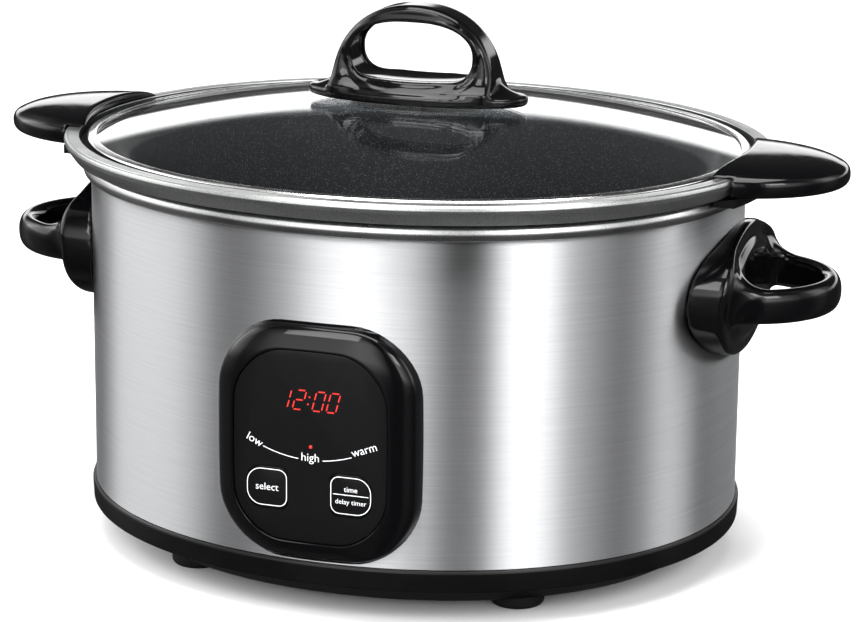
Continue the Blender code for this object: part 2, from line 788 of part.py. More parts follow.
def lobe_rings():
    """A crowned half disc: its plan is an ellipse, and its top falls off towards the rim of the plan."""
    levels = (
        (0.90, LOBE_BOTTOM),
        (0.975, LOBE_BOTTOM + 1.8),
        (1.0, LOBE_EDGE),
        (0.985, LOBE_EDGE + 2.6),
        (0.93, LOBE_EDGE + 5.0),
        (0.80, LOBE_EDGE + 7.4),
        (0.55, LOBE_CROWN - 1.2),
        (0.25, LOBE_CROWN),
    )
    rings = []
    for share, z in levels:
        ring = oval_ring(LOBE_REACH * share, LOBE_HALF_WIDTH * share, z, 32)
        rings.append([(x + LOBE_X, y, z) for x, y, z in ring])
    return rings


def build_pot_handle(side, pivot):
    sign = 1.0 if side == "right" else -1.0
    lobe = on_side(side, skin(lobe_rings(), joined=False))
    handle = add_object(f"pot_handle_{side}", lobe, "gloss_black", pivot)
    scoop = oval_prism(SCOOP_OUT, 180.0, 230.0)
    rim_room = oval_prism(RIM_OUT + GAP, 180.0, RIM_TOP + GAP)
    cut(handle, add_cutter(f"cut_scoop_{side}", scoop), add_cutter(f"cut_rim_{side}", rim_room))
    clip = add_object(f"pot_clip_{side}", clip_arc(sign), "satin_black", pivot)
    for y in (-LOBE_SCREW[1], LOBE_SCREW[1]):
        row = "front" if y < 0 else "rear"
        place = (sign * LOBE_SCREW[0], y, 0.0)
        hole = pin(SCREW_RADIUS + GAP, 180.0, 203.0, place)
        cut(handle, add_cutter(f"cut_lobe_{side}_{row}", hole))
        cut(clip, add_cutter(f"cut_clip_{side}_{row}", pin(SCREW_RADIUS + GAP, 180.0, 203.0, place)))
        screw(f"pot_screw_{side}_{row}", (place[0], y, CLIP_BOTTOM - GAP), "Z", 1.0, 14.5, pivot)


def clip_arc(sign):
    """The bracket under one handle: an L section carried along the oval."""
    count = 12
    section = (
        (CLIP_IN, CLIP_BOTTOM),
        (CLIP_OUT, CLIP_BOTTOM),
        (CLIP_OUT, LOBE_BOTTOM - GAP),
        (RIM_OUT + 1.0, LOBE_BOTTOM - GAP),
        (9.2, FLANGE_BOTTOM + 0.6),
        (CLIP_IN, FLANGE_BOTTOM - 0.3),
    )
    rings = []
    for step in range(count + 1):
        y = -CLIP_HALF_WIDTH + 2 * CLIP_HALF_WIDTH * step / count
        ring = []
        for out, z in section:
            share = 1.0 - (abs(y) / (WRAP_B + out)) ** OVAL_POWER
            ring.append((sign * (WRAP_A + out) * share ** (1.0 / OVAL_POWER), y, z))
        rings.append(ring)
    return skin(rings, joined=False)


# Lid ---------------------------------------------------------------------------------------------------


def glass_level(share):
    return GLASS_EDGE + GLASS_RISE * (1.0 - share**GLASS_POWER)


def build_glass(pivot):
    half_a = WRAP_A - GLASS_INSET
    half_b = WRAP_B - GLASS_INSET
    shares = (1.0, 0.85, 0.62, 0.35, 0.15)
    rings = []
    for share in shares:
        rings.append(oval_ring(half_a * share, half_b * share, glass_level(share)))
    rings.append(circle_ring(KNOB_HOLE, glass_level(0.0), OVAL_STEPS))
    rings.append(circle_ring(KNOB_HOLE, glass_level(0.0) - GLASS_THICK, OVAL_STEPS))
    for share in reversed(shares):
        rings.append(oval_ring(half_a * share, half_b * share, glass_level(share) - GLASS_THICK))
    add_object("lid_glass", skin(rings, joined=True), "glass", pivot)


def build_band(pivot):
    grip_out = -GLASS_INSET + GAP
    profile = [
        (BAND_OUT, BAND_BOTTOM + 0.6),
        (BAND_OUT, BAND_TOP - 0.7),
        (BAND_OUT - 0.8, BAND_TOP),
        (-BAND_IN, BAND_TOP + 0.3),
        (-BAND_IN, BAND_TOP - 0.25),
        (grip_out, BAND_TOP - 0.55),
        (grip_out, BAND_BOTTOM + BAND_SHEET - 0.1),
        (-BAND_IN, BAND_BOTTOM + BAND_SHEET - 0.1),
        (-BAND_IN, BAND_BOTTOM),
        (BAND_OUT - 0.6, BAND_BOTTOM),
    ]
    add_object("lid_band", oval_band(profile), "spun_steel", pivot)


def arch_sweep():
    """The knob's arch, swept between an outer and an inner superellipse."""
    count = 18
    base = KNOB_LIP + 2.0
    rings = []
    for step in range(count + 1):
        angle = math.pi * step / count
        outer_x, outer_z = power_point(ARCH_OUT, KNOB_TOP - base, angle, ARCH_POWER)
        inner_x, inner_z = power_point(ARCH_IN, ARCH_INNER_TOP - base, angle, ARCH_POWER)
        middle = np.array(((outer_x + inner_x) / 2, 0.0, base + (outer_z + inner_z) / 2))
        across = np.array(((outer_x - inner_x) / 2, 0.0, (outer_z - inner_z) / 2))
        depth = np.array((0.0, ARCH_DEPTH, 0.0))
        turns = [math.tau * side / 12 for side in range(12)]
        rings.append([tuple(middle + across * math.cos(turn) + depth * math.sin(turn)) for turn in turns])
    return skin(rings, joined=False)


def build_knob(pivot):
    half_a, half_b = KNOB_HALF
    levels = (
        (half_a - 3.0, half_b - 3.0, KNOB_BOTTOM),
        (half_a, half_b, KNOB_BOTTOM + 1.6),
        (half_a, half_b, KNOB_LIP - 1.0),
        (half_a - 2.0, half_b - 2.0, KNOB_LIP),
        (ARCH_OUT + 1.0, ARCH_DEPTH + 2.0, KNOB_FOOT - 0.6),
        (ARCH_OUT - 3.0, ARCH_DEPTH - 1.0, KNOB_FOOT),
    )
    rings = [oval_ring(a, b, z, 32) for a, b, z in levels]
    knob = add_object("lid_knob", skin(rings, joined=False), "gloss_black", pivot)
    combine(knob, add_cutter("knob_arch", arch_sweep()), "UNION")
    cut(knob, add_cutter("cut_knob_screw", pin(SCREW_RADIUS + GAP, 210.0, 230.0, (0.0, 0.0, 0.0))))


def flat_washer(half, bore, low, high):
    """An oval plate with a round bore."""
    steps = 24
    rings = [
        circle_ring(bore, low, steps),
        oval_ring(*half, low, steps),
        oval_ring(*half, high, steps),
        circle_ring(bore, high, steps),
    ]
    return skin(rings, joined=True)


def build_knob_fixing(pivot):
    top = glass_level(0.0) + GAP
    add_object("knob_gasket", flat_washer((34.0, 12.0), 5.0, top, top + 0.8), "silicone", pivot)
    under = glass_level(0.22) - GLASS_THICK - GAP
    add_object("knob_washer", flat_washer((33.0, 18.0), 2.4, under - 1.5, under), "spun_steel", pivot)
    screw("knob_screw", (0.0, 0.0, under - 1.5 - GAP), "Z", 1.0, 14.0, pivot)


# The whole ---------------------------------------------------------------------------------------------


def build_housing():
    build_wrap()
    build_bead()
    build_well()
    build_heater()
    build_base_shell()
    build_base_cover()
    build_feet()
    build_bezel()
    build_window()
    build_buttons()
    build_control_board()
    build_power_parts()
    build_fuse()
    build_sensor()
    build_gland()
    build_leads()
    for side in ("left", "right"):
        build_side_handle(side)


def main():
    clear_scene()
    build_housing()
    pot_pivot = add_pivot("pot_lift_axis", (0.0, 0.0, POT_BOTTOM))
    build_pot(pot_pivot)
    for side in ("left", "right"):
        build_pot_handle(side, pot_pivot)
    lid_pivot = add_pivot("lid_lift_axis", (0.0, 0.0, BAND_BOTTOM))
    build_glass(lid_pivot)
    build_band(lid_pivot)
    build_knob(lid_pivot)
    build_knob_fixing(lid_pivot)


main()
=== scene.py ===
"""The looks of an oval slow cooker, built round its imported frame.

Each sub-assembly is a class: it makes its meshes from sizes of its own and from the frame, and dresses them
in finishes. Sizes are in millimetres, in the frame's axes, and turn to metres where a mesh is made.
"""

from __future__ import annotations

import json
import logging
import math
from dataclasses import dataclass
from enum import Enum
from typing import Any, Callable, Iterable, Sequence

import bmesh
import bpy
import numpy as np
import openvdb
from mathutils import Matrix, Vector

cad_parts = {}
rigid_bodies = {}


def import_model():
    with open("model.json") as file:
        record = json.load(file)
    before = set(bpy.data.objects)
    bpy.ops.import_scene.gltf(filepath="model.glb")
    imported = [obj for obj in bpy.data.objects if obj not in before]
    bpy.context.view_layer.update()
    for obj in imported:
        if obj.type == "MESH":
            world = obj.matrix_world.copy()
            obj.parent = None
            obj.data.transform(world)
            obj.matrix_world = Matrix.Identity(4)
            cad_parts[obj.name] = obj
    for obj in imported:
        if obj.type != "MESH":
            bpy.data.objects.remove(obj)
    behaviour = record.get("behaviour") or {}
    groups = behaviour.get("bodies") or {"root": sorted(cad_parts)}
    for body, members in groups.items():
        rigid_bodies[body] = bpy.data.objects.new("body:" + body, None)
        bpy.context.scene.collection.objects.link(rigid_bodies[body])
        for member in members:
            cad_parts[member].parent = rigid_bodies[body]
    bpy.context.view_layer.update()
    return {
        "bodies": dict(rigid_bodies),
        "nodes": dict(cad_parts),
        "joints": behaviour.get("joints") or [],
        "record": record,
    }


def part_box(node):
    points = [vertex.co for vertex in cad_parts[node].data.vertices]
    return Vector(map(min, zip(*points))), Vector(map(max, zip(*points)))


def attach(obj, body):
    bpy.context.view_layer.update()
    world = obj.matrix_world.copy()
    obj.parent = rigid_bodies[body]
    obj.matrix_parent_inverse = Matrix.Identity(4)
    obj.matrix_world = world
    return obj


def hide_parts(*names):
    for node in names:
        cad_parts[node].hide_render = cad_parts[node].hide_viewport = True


MM = 0.001
CREASE = 38.0
ORIGIN = (0.0, 0.0, 0.0)
WINDOW = (0.3, 0.7)
LOG = logging.getLogger("slow_cooker")

Point = tuple[float, float, float]
Flat = tuple[float, float]
Profile = list[Point]
Field = Callable[[np.ndarray, np.ndarray, np.ndarray], np.ndarray]


class Side(Enum):
    """The two ends of the oval, each with the sign of its X."""

    LEFT = -1.0
    RIGHT = 1.0

    @property
    def word(self) -> str:
        """The side's name as node names have it."""
        return self.name.lower()


class Body(Enum):
    """The bodies of the frame that a piece can ride on."""

    BASE = "base"
    SELECT = "select_button"
    TIMER = "timer_button"
    POT = "pot"
    LID = "lid"


# Nodes and materials -------------------------------------------------------------------------------------


def add_node(
    tree: bpy.types.NodeTree, kind: str, inputs: dict[Any, Any] | None = None, **settings: Any
) -> Any:
    """Adds a node with its settings, and fills or links its inputs.

    Args:
        tree: The tree that gets the node.
        kind: The node's Blender type.
        inputs: For each input's name or number, a value or the socket that feeds it.
        **settings: The node's own properties.

    Returns:
        The new node.
    """
    made = tree.nodes.new(kind)
    for name, value in settings.items():
        setattr(made, name, value)
    for key, value in (inputs or {}).items():
        if isinstance(value, bpy.types.NodeSocket):
            tree.links.new(value, made.inputs[key])
        else:
            made.inputs[key].default_value = value
    return made


def work_out(tree: bpy.types.NodeTree, known: dict[str, Any], steps: Sequence[tuple[Any, ...]]) -> None:
    """Adds the nodes of a formula, whose steps use each other's results by name.

    Args:
        tree: The tree that gets the nodes.
        known: The sockets that the steps may name; each step's result is added to it.
        steps: For each step its name, its operation, and what it works on: names or numbers.
    """
    for name, operation, *terms in steps:
        inputs = {number: known.get(term, term) for number, term in enumerate(terms)}
        known[name] = add_node(tree, "ShaderNodeMath", inputs, operation=operation).outputs[0]


def linear(code: str) -> tuple[float, float, float, float]:
    """Turns an sRGB hex colour such as #D2D3D5 to linear RGBA.

    Args:
        code: The colour, with its number sign.

    Returns:
        Its linear value, opaque.
    """
    parts = [int(code[start : start + 2], 16) / 255 for start in (1, 3, 5)]
    red, green, blue = (c / 12.92 if c <= 0.04045 else ((c + 0.055) / 1.055) ** 2.4 for c in parts)
    return red, green, blue, 1.0


@dataclass(frozen=True)
class Finish:
    """What every finish has: a name, a colour, and one Principled shader that its own nodes feed."""

    name: str
    colour: str
    roughness: float
    metallic: float = 0.0

    def material(self) -> bpy.types.Material:
        """Makes the material once and returns it every time.

        Returns:
            The finish's material.
        """
        found = bpy.data.materials.get(self.name)
        if found:
            return found
        made = bpy.data.materials.new(self.name)
        made.use_nodes = True
        tree = made.node_tree
        shader = tree.nodes["Principled BSDF"]
        shader.inputs["Base Color"].default_value = linear(self.colour)
        shader.inputs["Roughness"].default_value = self.roughness
        shader.inputs["Metallic"].default_value = self.metallic
        self.paint(tree, shader)
        return made

    def paint(self, tree: bpy.types.NodeTree, shader: Any) -> None:
        """Adds the finish's own nodes; a plain finish has none."""

    def place(self, tree: bpy.types.NodeTree, size_mm: Point) -> Any:
        """Object coordinates scaled so that a pattern's cell has the given real size.

        Args:
            tree: The material's tree.
            size_mm: The cell's size along X, Y and Z.

        Returns:
            The socket with the coordinates.
        """
        coordinates = add_node(tree, "ShaderNodeTexCoord")
        scale = tuple(1.0 / (size * MM) for size in size_mm)
        mapping = add_node(
            tree, "ShaderNodeMapping", {"Vector": coordinates.outputs["Object"], "Scale": scale}
        )
        return mapping.outputs["Vector"]

    def grain(self, tree: bpy.types.NodeTree, size_mm: Point, detail: float = 2.0) -> Any:
        """An uneven pattern whose grain has the given real size.

        Args:
            tree: The material's tree.
            size_mm: The grain's size along X, Y and Z.
            detail: How much finer grain lies in it.

        Returns:
            The socket of the pattern's value.
        """
        vector = self.place(tree, size_mm)
        made = add_node(tree, "ShaderNodeTexNoise", {"Vector": vector, "Scale": 1.0, "Detail": detail})
        return made.outputs["Fac"]

    def crystals(self, tree: bpy.types.NodeTree, size_mm: Point, **settings: Any) -> Any:
        """A pattern of closed cells with the given real size.

        Args:
            tree: The material's tree.
            size_mm: The cells' size along X, Y and Z.
            **settings: The pattern's own properties.

        Returns:
            The pattern's sockets: the distance from a cell's middle, and a random colour for each cell.
        """
        vector = self.place(tree, size_mm)
        return add_node(tree, "ShaderNodeTexVoronoi", {"Vector": vector, "Scale": 1.0}, **settings).outputs

    def feed(
        self, tree: bpy.types.NodeTree, value: Any, ends: Flat, target: Any, window: Flat = WINDOW
    ) -> None:
        """Feeds a socket from the window of a 0 to 1 value.

        Args:
            tree: The material's tree.
            value: The socket with the value.
            ends: What the target gets at the window's start and at its end.
            target: The socket that is fed.
            window: The stretch of the value that is used.
        """
        named = {"From Min": window[0], "From Max": window[1], "To Min": ends[0], "To Max": ends[1]}
        made = add_node(tree, "ShaderNodeMapRange", {"Value": value, **named})
        tree.links.new(made.outputs["Result"], target)

    def tint(
        self,
        tree: bpy.types.NodeTree,
        shader: Any,
        value: Any,
        colours: tuple[str, str],
        window: Flat | None = WINDOW,
    ) -> None:
        """Colours the shader between two colours, by a pattern's value.

        Args:
            tree: The material's tree.
            shader: The shader that gets the colour.
            value: The socket with the value.
            colours: The hex colours at its low end and at its high end.
            window: The stretch of the value that is used, or None for a value that is used as it is.
        """
        ends = {6: linear(colours[0]), 7: linear(colours[1])}
        mix = add_node(tree, "ShaderNodeMix", ends, data_type="RGBA")
        if window:
            self.feed(tree, value, (0.0, 1.0), mix.inputs[0], window)
        else:
            tree.links.new(value, mix.inputs[0])
        tree.links.new(mix.outputs[2], shader.inputs["Base Color"])

    def emboss(
        self, tree: bpy.types.NodeTree, shader: Any, height: Any, depth_mm: float, strength: float = 1.0
    ) -> None:
        """Gives the shader a relief of a real depth.

        Args:
            tree: The material's tree.
            shader: The shader that gets it.
            height: The socket with the height, from 0 to 1.
            depth_mm: The relief's depth.
            strength: How much of it shows.
        """
        made = add_node(
            tree, "ShaderNodeBump", {"Height": height, "Distance": depth_mm * MM, "Strength": strength}
        )
        tree.links.new(made.outputs["Normal"], shader.inputs["Normal"])


@dataclass(frozen=True)
class BrushedStainless(Finish):
    """Stainless sheet, belt-brushed: long scratches along the sheet, which draw each light out upward."""

    scratch_mm: float = 0.35
    run_mm: float = 30.0
    stretch: float = 1.0
    dull: str = "#CFD0D2"

    def paint(self, tree: bpy.types.NodeTree, shader: Any) -> None:
        """Scratches in colour, gloss and relief, drawn coarser than the real ones so that they show.

        Args:
            tree: The material's tree.
            shader: Its Principled shader.
        """
        run = self.run_mm
        scratches = self.grain(tree, (run, run, self.scratch_mm))
        streaks = self.grain(tree, (run * 2.0, run * 2.0, self.scratch_mm * 2.5))
        known = {"scratches": scratches, "streaks": streaks}
        work_out(tree, known, (("both", "ADD", "scratches", "streaks"), ("half", "MULTIPLY", "both", 0.5)))
        self.tint(tree, shader, known["half"], (self.dull, self.colour))
        ends = (self.roughness + 0.03, self.roughness - 0.02)
        self.feed(tree, known["half"], ends, shader.inputs["Roughness"])
        self.emboss(tree, shader, scratches, 0.004, 0.6)
        shader.inputs["Anisotropic"].default_value = self.stretch
        upward = add_node(tree, "ShaderNodeCombineXYZ", {"Z": 1.0})
        tree.links.new(upward.outputs["Vector"], shader.inputs["Tangent"])


@dataclass(frozen=True)
class BlastedMetal(Finish):
    """A metal or metallic lacquer with a fine grain: aluminium flake, or a bead-blasted roll."""

    grain_mm: float = 0.55
    cloud_mm: float = 14.0
    dark: str = "#6E706F"
    relief_mm: float = 0.012

    def paint(self, tree: bpy.types.NodeTree, shader: Any) -> None:
        """Grain in colour, gloss and relief.

        Args:
            tree: The material's tree.
            shader: Its Principled shader.
        """
        grain = self.grain(tree, (self.grain_mm,) * 3, detail=3.0)
        cloud = self.grain(tree, (self.cloud_mm,) * 3, detail=1.0)
        self.tint(tree, shader, grain, (self.dark, self.colour), (0.38, 0.62))
        ends = (self.roughness - 0.03, self.roughness + 0.05)
        self.feed(tree, cloud, ends, shader.inputs["Roughness"])
        self.emboss(tree, shader, grain, self.relief_mm)


@dataclass(frozen=True)
class FlakedNonstick(Finish):
    """Baked non-stick lacquer with mica flakes: charcoal, with a soft sheen and silver points."""

    flake_mm: float = 0.6
    flake: str = "#858A90"
    share: float = 0.35

    def paint(self, tree: bpy.types.NodeTree, shader: Any) -> None:
        """Each cell has a random lean and shade, and a few are bright mica.

        Args:
            tree: The material's tree.
            shader: Its Principled shader.
        """
        cells = self.crystals(tree, (self.flake_mm,) * 3)
        shades = add_node(tree, "ShaderNodeSeparateColor", {"Color": cells["Color"]}).outputs
        spark = add_node(tree, "ShaderNodeMath", operation="MULTIPLY")
        self.feed(tree, shades["Red"], (0.0, 1.0), spark.inputs[0], (1.0 - self.share, 1.0))
        self.feed(tree, cells["Distance"], (1.0, 0.0), spark.inputs[1], (0.15, 0.55))
        self.tint(tree, shader, spark.outputs[0], (self.colour, self.flake), None)
        self.feed(tree, spark.outputs[0], (self.metallic, 1.0), shader.inputs["Metallic"], (0.0, 0.6))
        self.emboss(tree, shader, shades["Green"], 0.09, 0.55)


@dataclass(frozen=True)
class PolishedMoulding(Finish):
    """Phenolic or acrylic from a polished tool: near black, mirror gloss, with a faint flow in it."""

    flow_mm: float = 16.0
    flow_depth_mm: float = 0.02
    haze_mm: float = 5.0
    shine: float = 0.22

    def paint(self, tree: bpy.types.NodeTree, shader: Any) -> None:
        """A slow ripple from the moulding, and a fine haze from handling in its gloss.

        Args:
            tree: The material's tree.
            shader: Its Principled shader.
        """
        flow = self.grain(tree, (self.flow_mm,) * 3, detail=1.0)
        haze = self.grain(tree, (self.haze_mm,) * 3, detail=6.0)
        shader.inputs["Specular IOR Level"].default_value = self.shine
        ends = (self.roughness - 0.02, self.roughness + 0.05)
        self.feed(tree, haze, ends, shader.inputs["Roughness"])
        self.emboss(tree, shader, flow, self.flow_depth_mm, 0.5)


@dataclass(frozen=True)
class SparkTexture(Finish):
    """Plastic or rubber from a spark-eroded tool: an even fine grain that spreads the lights."""

    grain_mm: float = 0.6
    cloud_mm: float = 22.0
    depth_mm: float = 0.02
    light: str = "#1C1C1D"
    shine: float = 0.25

    def paint(self, tree: bpy.types.NodeTree, shader: Any) -> None:
        """Grain in relief, and a slight unevenness in shade.

        Args:
            tree: The material's tree.
            shader: Its Principled shader.
        """
        grain = self.grain(tree, (self.grain_mm,) * 3, detail=4.0)
        cloud = self.grain(tree, (self.cloud_mm,) * 3)
        self.tint(tree, shader, cloud, (self.colour, self.light))
        shader.inputs["Specular IOR Level"].default_value = self.shine
        self.emboss(tree, shader, grain, self.depth_mm)


@dataclass(frozen=True)
class ZincSpangle(Finish):
    """Hot-dipped zinc: feathery crystals a few millimetres wide, each with its own grey and gloss."""

    crystal_mm: float = 7.0
    tooth_mm: float = 0.8
    dull: str = "#8F9497"

    def paint(self, tree: bpy.types.NodeTree, shader: Any) -> None:
        """Crystals in colour and gloss, and a fine tooth over them.

        Args:
            tree: The material's tree.
            shader: Its Principled shader.
        """
        cells = self.crystals(tree, (self.crystal_mm,) * 3)
        shades = add_node(tree, "ShaderNodeSeparateColor", {"Color": cells["Color"]}).outputs
        self.tint(tree, shader, shades["Red"], (self.dull, self.colour), None)
        ends = (self.roughness - 0.08, self.roughness + 0.1)
        self.feed(tree, shades["Green"], ends, shader.inputs["Roughness"], (0.0, 1.0))
        self.emboss(tree, shader, self.grain(tree, (self.tooth_mm,) * 3), 0.01)


@dataclass(frozen=True)
class TemperedGlass(Finish):
    """Press-bent tempered soda-lime glass: clear, with the least green at its edge and a slow roller wave."""

    ior: float = 1.52
    wave_mm: float = 60.0

    def paint(self, tree: bpy.types.NodeTree, shader: Any) -> None:
        """Full transmission, and a wave too slow to see but in long reflections.

        Args:
            tree: The material's tree.
            shader: Its Principled shader.
        """
        shader.inputs["IOR"].default_value = self.ior
        shader.inputs["Transmission Weight"].default_value = 1.0
        wave = self.grain(tree, (self.wave_mm,) * 3, detail=0.0)
        self.emboss(tree, shader, wave, 0.05, 0.3)


@dataclass(frozen=True)
class LitDiode(Finish):
    """The diffusing epoxy of a lit red diode: an even glow that outshines the epoxy's own deep red."""

    glow: str = "#E8382C"
    strength: float = 0.62
    light: str = "#B01410"

    def paint(self, tree: bpy.types.NodeTree, shader: Any) -> None:
        """Emission on the shader's own sockets, with an uneven shade in the epoxy under it.

        Args:
            tree: The material's tree.
            shader: Its Principled shader.
        """
        grain = self.grain(tree, (0.7, 0.7, 0.7), detail=1.0)
        self.tint(tree, shader, grain, (self.colour, self.light))
        shader.inputs["Emission Color"].default_value = linear(self.glow)
        shader.inputs["Emission Strength"].default_value = self.strength


@dataclass(frozen=True)
class FibreFelt(Finish):
    """Needled or braided glass fibre: matt, off-white, with strands that cross each other."""

    strand_mm: float = 0.5
    shade: str = "#B9B4A6"

    def paint(self, tree: bpy.types.NodeTree, shader: Any) -> None:
        """Two sets of drawn-out grain, as strands that run each way.

        Args:
            tree: The material's tree.
            shader: Its Principled shader.
        """
        size, run = self.strand_mm, self.strand_mm * 12.0
        along = self.grain(tree, (run, run, size), detail=4.0)
        across = self.grain(tree, (size, size, run), detail=4.0)
        known = {"along": along, "across": across}
        work_out(tree, known, (("strands", "MAXIMUM", "along", "across"),))
        self.tint(tree, shader, known["strands"], (self.shade, self.colour))
        self.emboss(tree, shader, known["strands"], 0.3)


@dataclass(frozen=True)
class CircuitLaminate(Finish):
    """Glass-epoxy laminate under green solder mask: copper tracks show through it as lighter bands."""

    track_mm: float = 5.0
    copper: str = "#2E8A4C"

    def paint(self, tree: bpy.types.NodeTree, shader: Any) -> None:
        """Square cells stand in for tracks.

        Args:
            tree: The material's tree.
            shader: Its Principled shader.
        """
        size = (self.track_mm, self.track_mm * 0.6, self.track_mm * 0.6)
        cells = self.crystals(tree, size, distance="CHEBYCHEV")
        tracks = add_node(tree, "ShaderNodeClamp")
        self.feed(tree, cells["Distance"], (1.0, 0.0), tracks.inputs["Value"], (0.30, 0.34))
        self.tint(tree, shader, tracks.outputs[0], (self.colour, self.copper), None)
        self.emboss(tree, shader, tracks.outputs[0], 0.04)


STEEL = BrushedStainless("stainless_sheet_belt_brushed", "#E2E3E5", 0.35, 1.0)
RIM_STEEL = BlastedMetal(
    "stainless_roll_blasted", "#C6C7C6", 0.3, 1.0, grain_mm=0.4, dark="#A4A6A5", relief_mm=0.003
)
LID_STEEL = BlastedMetal(
    "stainless_strip_spun", "#E4E4E3", 0.16, 1.0, grain_mm=0.9, dark="#CFCFCE", relief_mm=0.003
)
POT_SKIN = BlastedMetal(
    "aluminium_flake_lacquer", "#B9BBB9", 0.32, 0.95, grain_mm=0.4, dark="#8C8E8D", relief_mm=0.003
)
NONSTICK = FlakedNonstick("nonstick_lacquer_mica_flaked", "#222427", 0.4, 0.85)
GLOSS_BLACK = PolishedMoulding("phenolic_polished_black", "#060607", 0.06)
SATIN_BLACK = SparkTexture("polypropylene_satin_black", "#040404", 0.34, light="#080808")
WINDOW_BLACK = PolishedMoulding("acrylic_smoked_black", "#0C0C0D", 0.22, flow_depth_mm=0.004, shine=0.2)
RUBBER = SparkTexture("rubber_moulded_black", "#0B0B0C", 0.72, grain_mm=0.9, light="#151516")
ZINC = ZincSpangle("steel_zinc_dipped", "#B9BEC1", 0.38, 0.9)
SCREW_ZINC = BlastedMetal("steel_zinc_plated_screw", "#C9CCCF", 0.3, 1.0, dark="#9DA1A5")
GLASS = TemperedGlass("glass_tempered_clear", "#FBFDFC", 0.0)
DIODE = LitDiode("epoxy_diffusing_red_lit", "#8C0F0C", 0.35)
FELT = FibreFelt("glass_fibre_felt", "#E0DBCE", 0.95)
LAMINATE = CircuitLaminate("laminate_solder_masked", "#14562E", 0.4)
GREY_NYLON = SparkTexture("nylon_glass_filled_grey", "#4A4B4E", 0.5, light="#5A5B5E")
SILICONE = SparkTexture("silicone_translucent_grey", "#7C7E80", 0.5, light="#8A8C8E")
PRINT_INK = SparkTexture(
    "screen_ink_pale_grey", "#D9DBDD", 0.55, grain_mm=0.25, depth_mm=0.004, light="#E6E8EA"
)


# Shapes ------------------------------------------------------------------------------------------------


def span(node: str) -> tuple[Vector, Vector]:
    """A CAD node's lowest and highest corners, in millimetres."""
    low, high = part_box(node)
    return low / MM, high / MM


@dataclass(frozen=True)
class Oval:
    """A superellipse seen from above, in millimetres."""

    half_length: float
    half_width: float
    power: float = 2.04
    centre: Point = (0.0, 0.0, 0.0)

    def reach(self, across: float, out: float = 0.0, along_x: bool = True) -> float:
        """How far the grown oval reaches along one axis, at a place on the other.

        Args:
            across: The place on the other axis.
            out: How much the oval is grown.
            along_x: True for the reach along X, False for that along Y.

        Returns:
            The reach from the centre.
        """
        full, other = self.half_length + out, self.half_width + out
        if not along_x:
            full, other = other, full
        return full * max(0.0, 1.0 - abs(across / other) ** self.power) ** (1.0 / self.power)


def rounded(corners: Iterable[Point], joined: bool = True, steps: int = 4) -> Profile:
    """A profile through corners, each given as (out, height, radius) and rounded by a short curve.

    Args:
        corners: The corners in order.
        joined: Whether the last corner leads back to the first.
        steps: How many pieces each curve has.

    Returns:
        Points of (out, share of the oval, height); the share is 1.
    """
    listed = list(corners)
    found: Profile = []
    for number, (out, height, radius) in enumerate(listed):
        at_end = number in (0, len(listed) - 1) and not joined
        if radius <= 0.0 or at_end:
            found.append((out, 1.0, height))
            continue
        here = Vector((out, height))
        before = Vector(listed[number - 1][:2]) - here
        after = Vector(listed[(number + 1) % len(listed)][:2]) - here
        opening = before.angle(after)
        reach = min(radius / math.tan(opening / 2), before.length * 0.48, after.length * 0.48)
        start = here + before.normalized() * reach
        end = here + after.normalized() * reach
        for step in range(steps + 1):
            t = step / steps
            spot = start * (1 - t) ** 2 + here * (2 * t * (1 - t)) + end * t**2
            found.append((spot.x, 1.0, spot.y))
    return found


def dress(piece: bpy.types.Object, finish: Finish, crease: float = CREASE) -> bpy.types.Object:
    """Gives a mesh its finish, smooth shading and creases at its sharp edges.

    Args:
        piece: The object.
        finish: Its finish.
        crease: The least angle of a sharp edge, in degrees.

    Returns:
        The same object.
    """
    piece.data.materials.clear()
    piece.data.materials.append(finish.material())
    piece.data.shade_smooth()
    piece.data.set_sharp_from_angle(angle=math.radians(crease))
    return piece


def piece_from(
    name: str, data: bmesh.types.BMesh, finish: Finish, crease: float = CREASE
) -> bpy.types.Object:
    """Makes a dressed object from a bmesh in millimetres, merged and with its faces outward.

    Args:
        name: The piece's name.
        data: Its mesh, which is used up.
        finish: Its finish.
        crease: The least angle of a sharp edge, in degrees.

    Returns:
        The dressed piece.
    """
    bmesh.ops.remove_doubles(data, verts=data.verts, dist=1e-4)
    bmesh.ops.recalc_face_normals(data, faces=data.faces)
    bmesh.ops.scale(data, vec=(MM, MM, MM), verts=data.verts)
    mesh = bpy.data.meshes.new(name)
    data.to_mesh(mesh)
    data.free()
    made = bpy.data.objects.new(name, mesh)
    bpy.context.scene.collection.objects.link(made)
    return dress(made, finish, crease)


def skin(rings: Sequence[Sequence[Point]], joined: bool) -> bmesh.types.BMesh:
    """A closed skin through rings of equal length.

    Args:
        rings: The rings, each a closed loop of points.
        joined: True where the last ring leads back to the first, False where both ends are capped.

    Returns:
        The mesh, in millimetres.
    """
    data = bmesh.new()
    loops = [[data.verts.new(point) for point in ring] for ring in rings]
    pairs = list(zip(loops, loops[1:]))
    if joined:
        pairs.append((loops[-1], loops[0]))
    for low, high in pairs:
        for here, after in zip(range(len(low)), [*range(1, len(low)), 0]):
            data.faces.new((low[here], low[after], high[after], high[here]))
    if not joined:
        data.faces.new(loops[0][::-1])
        data.faces.new(loops[-1])
    return data


def evaluated(piece: bpy.types.Object) -> bpy.types.Object:
    """Turns an object's evaluated modifiers to its plain mesh, and removes them.

    Args:
        piece: The object.

    Returns:
        The same object.
    """
    graph = bpy.context.evaluated_depsgraph_get()
    mesh = bpy.data.meshes.new_from_object(piece.evaluated_get(graph), depsgraph=graph)
    mesh.name = piece.name
    piece.modifiers.clear()
    piece.data = mesh
    return piece


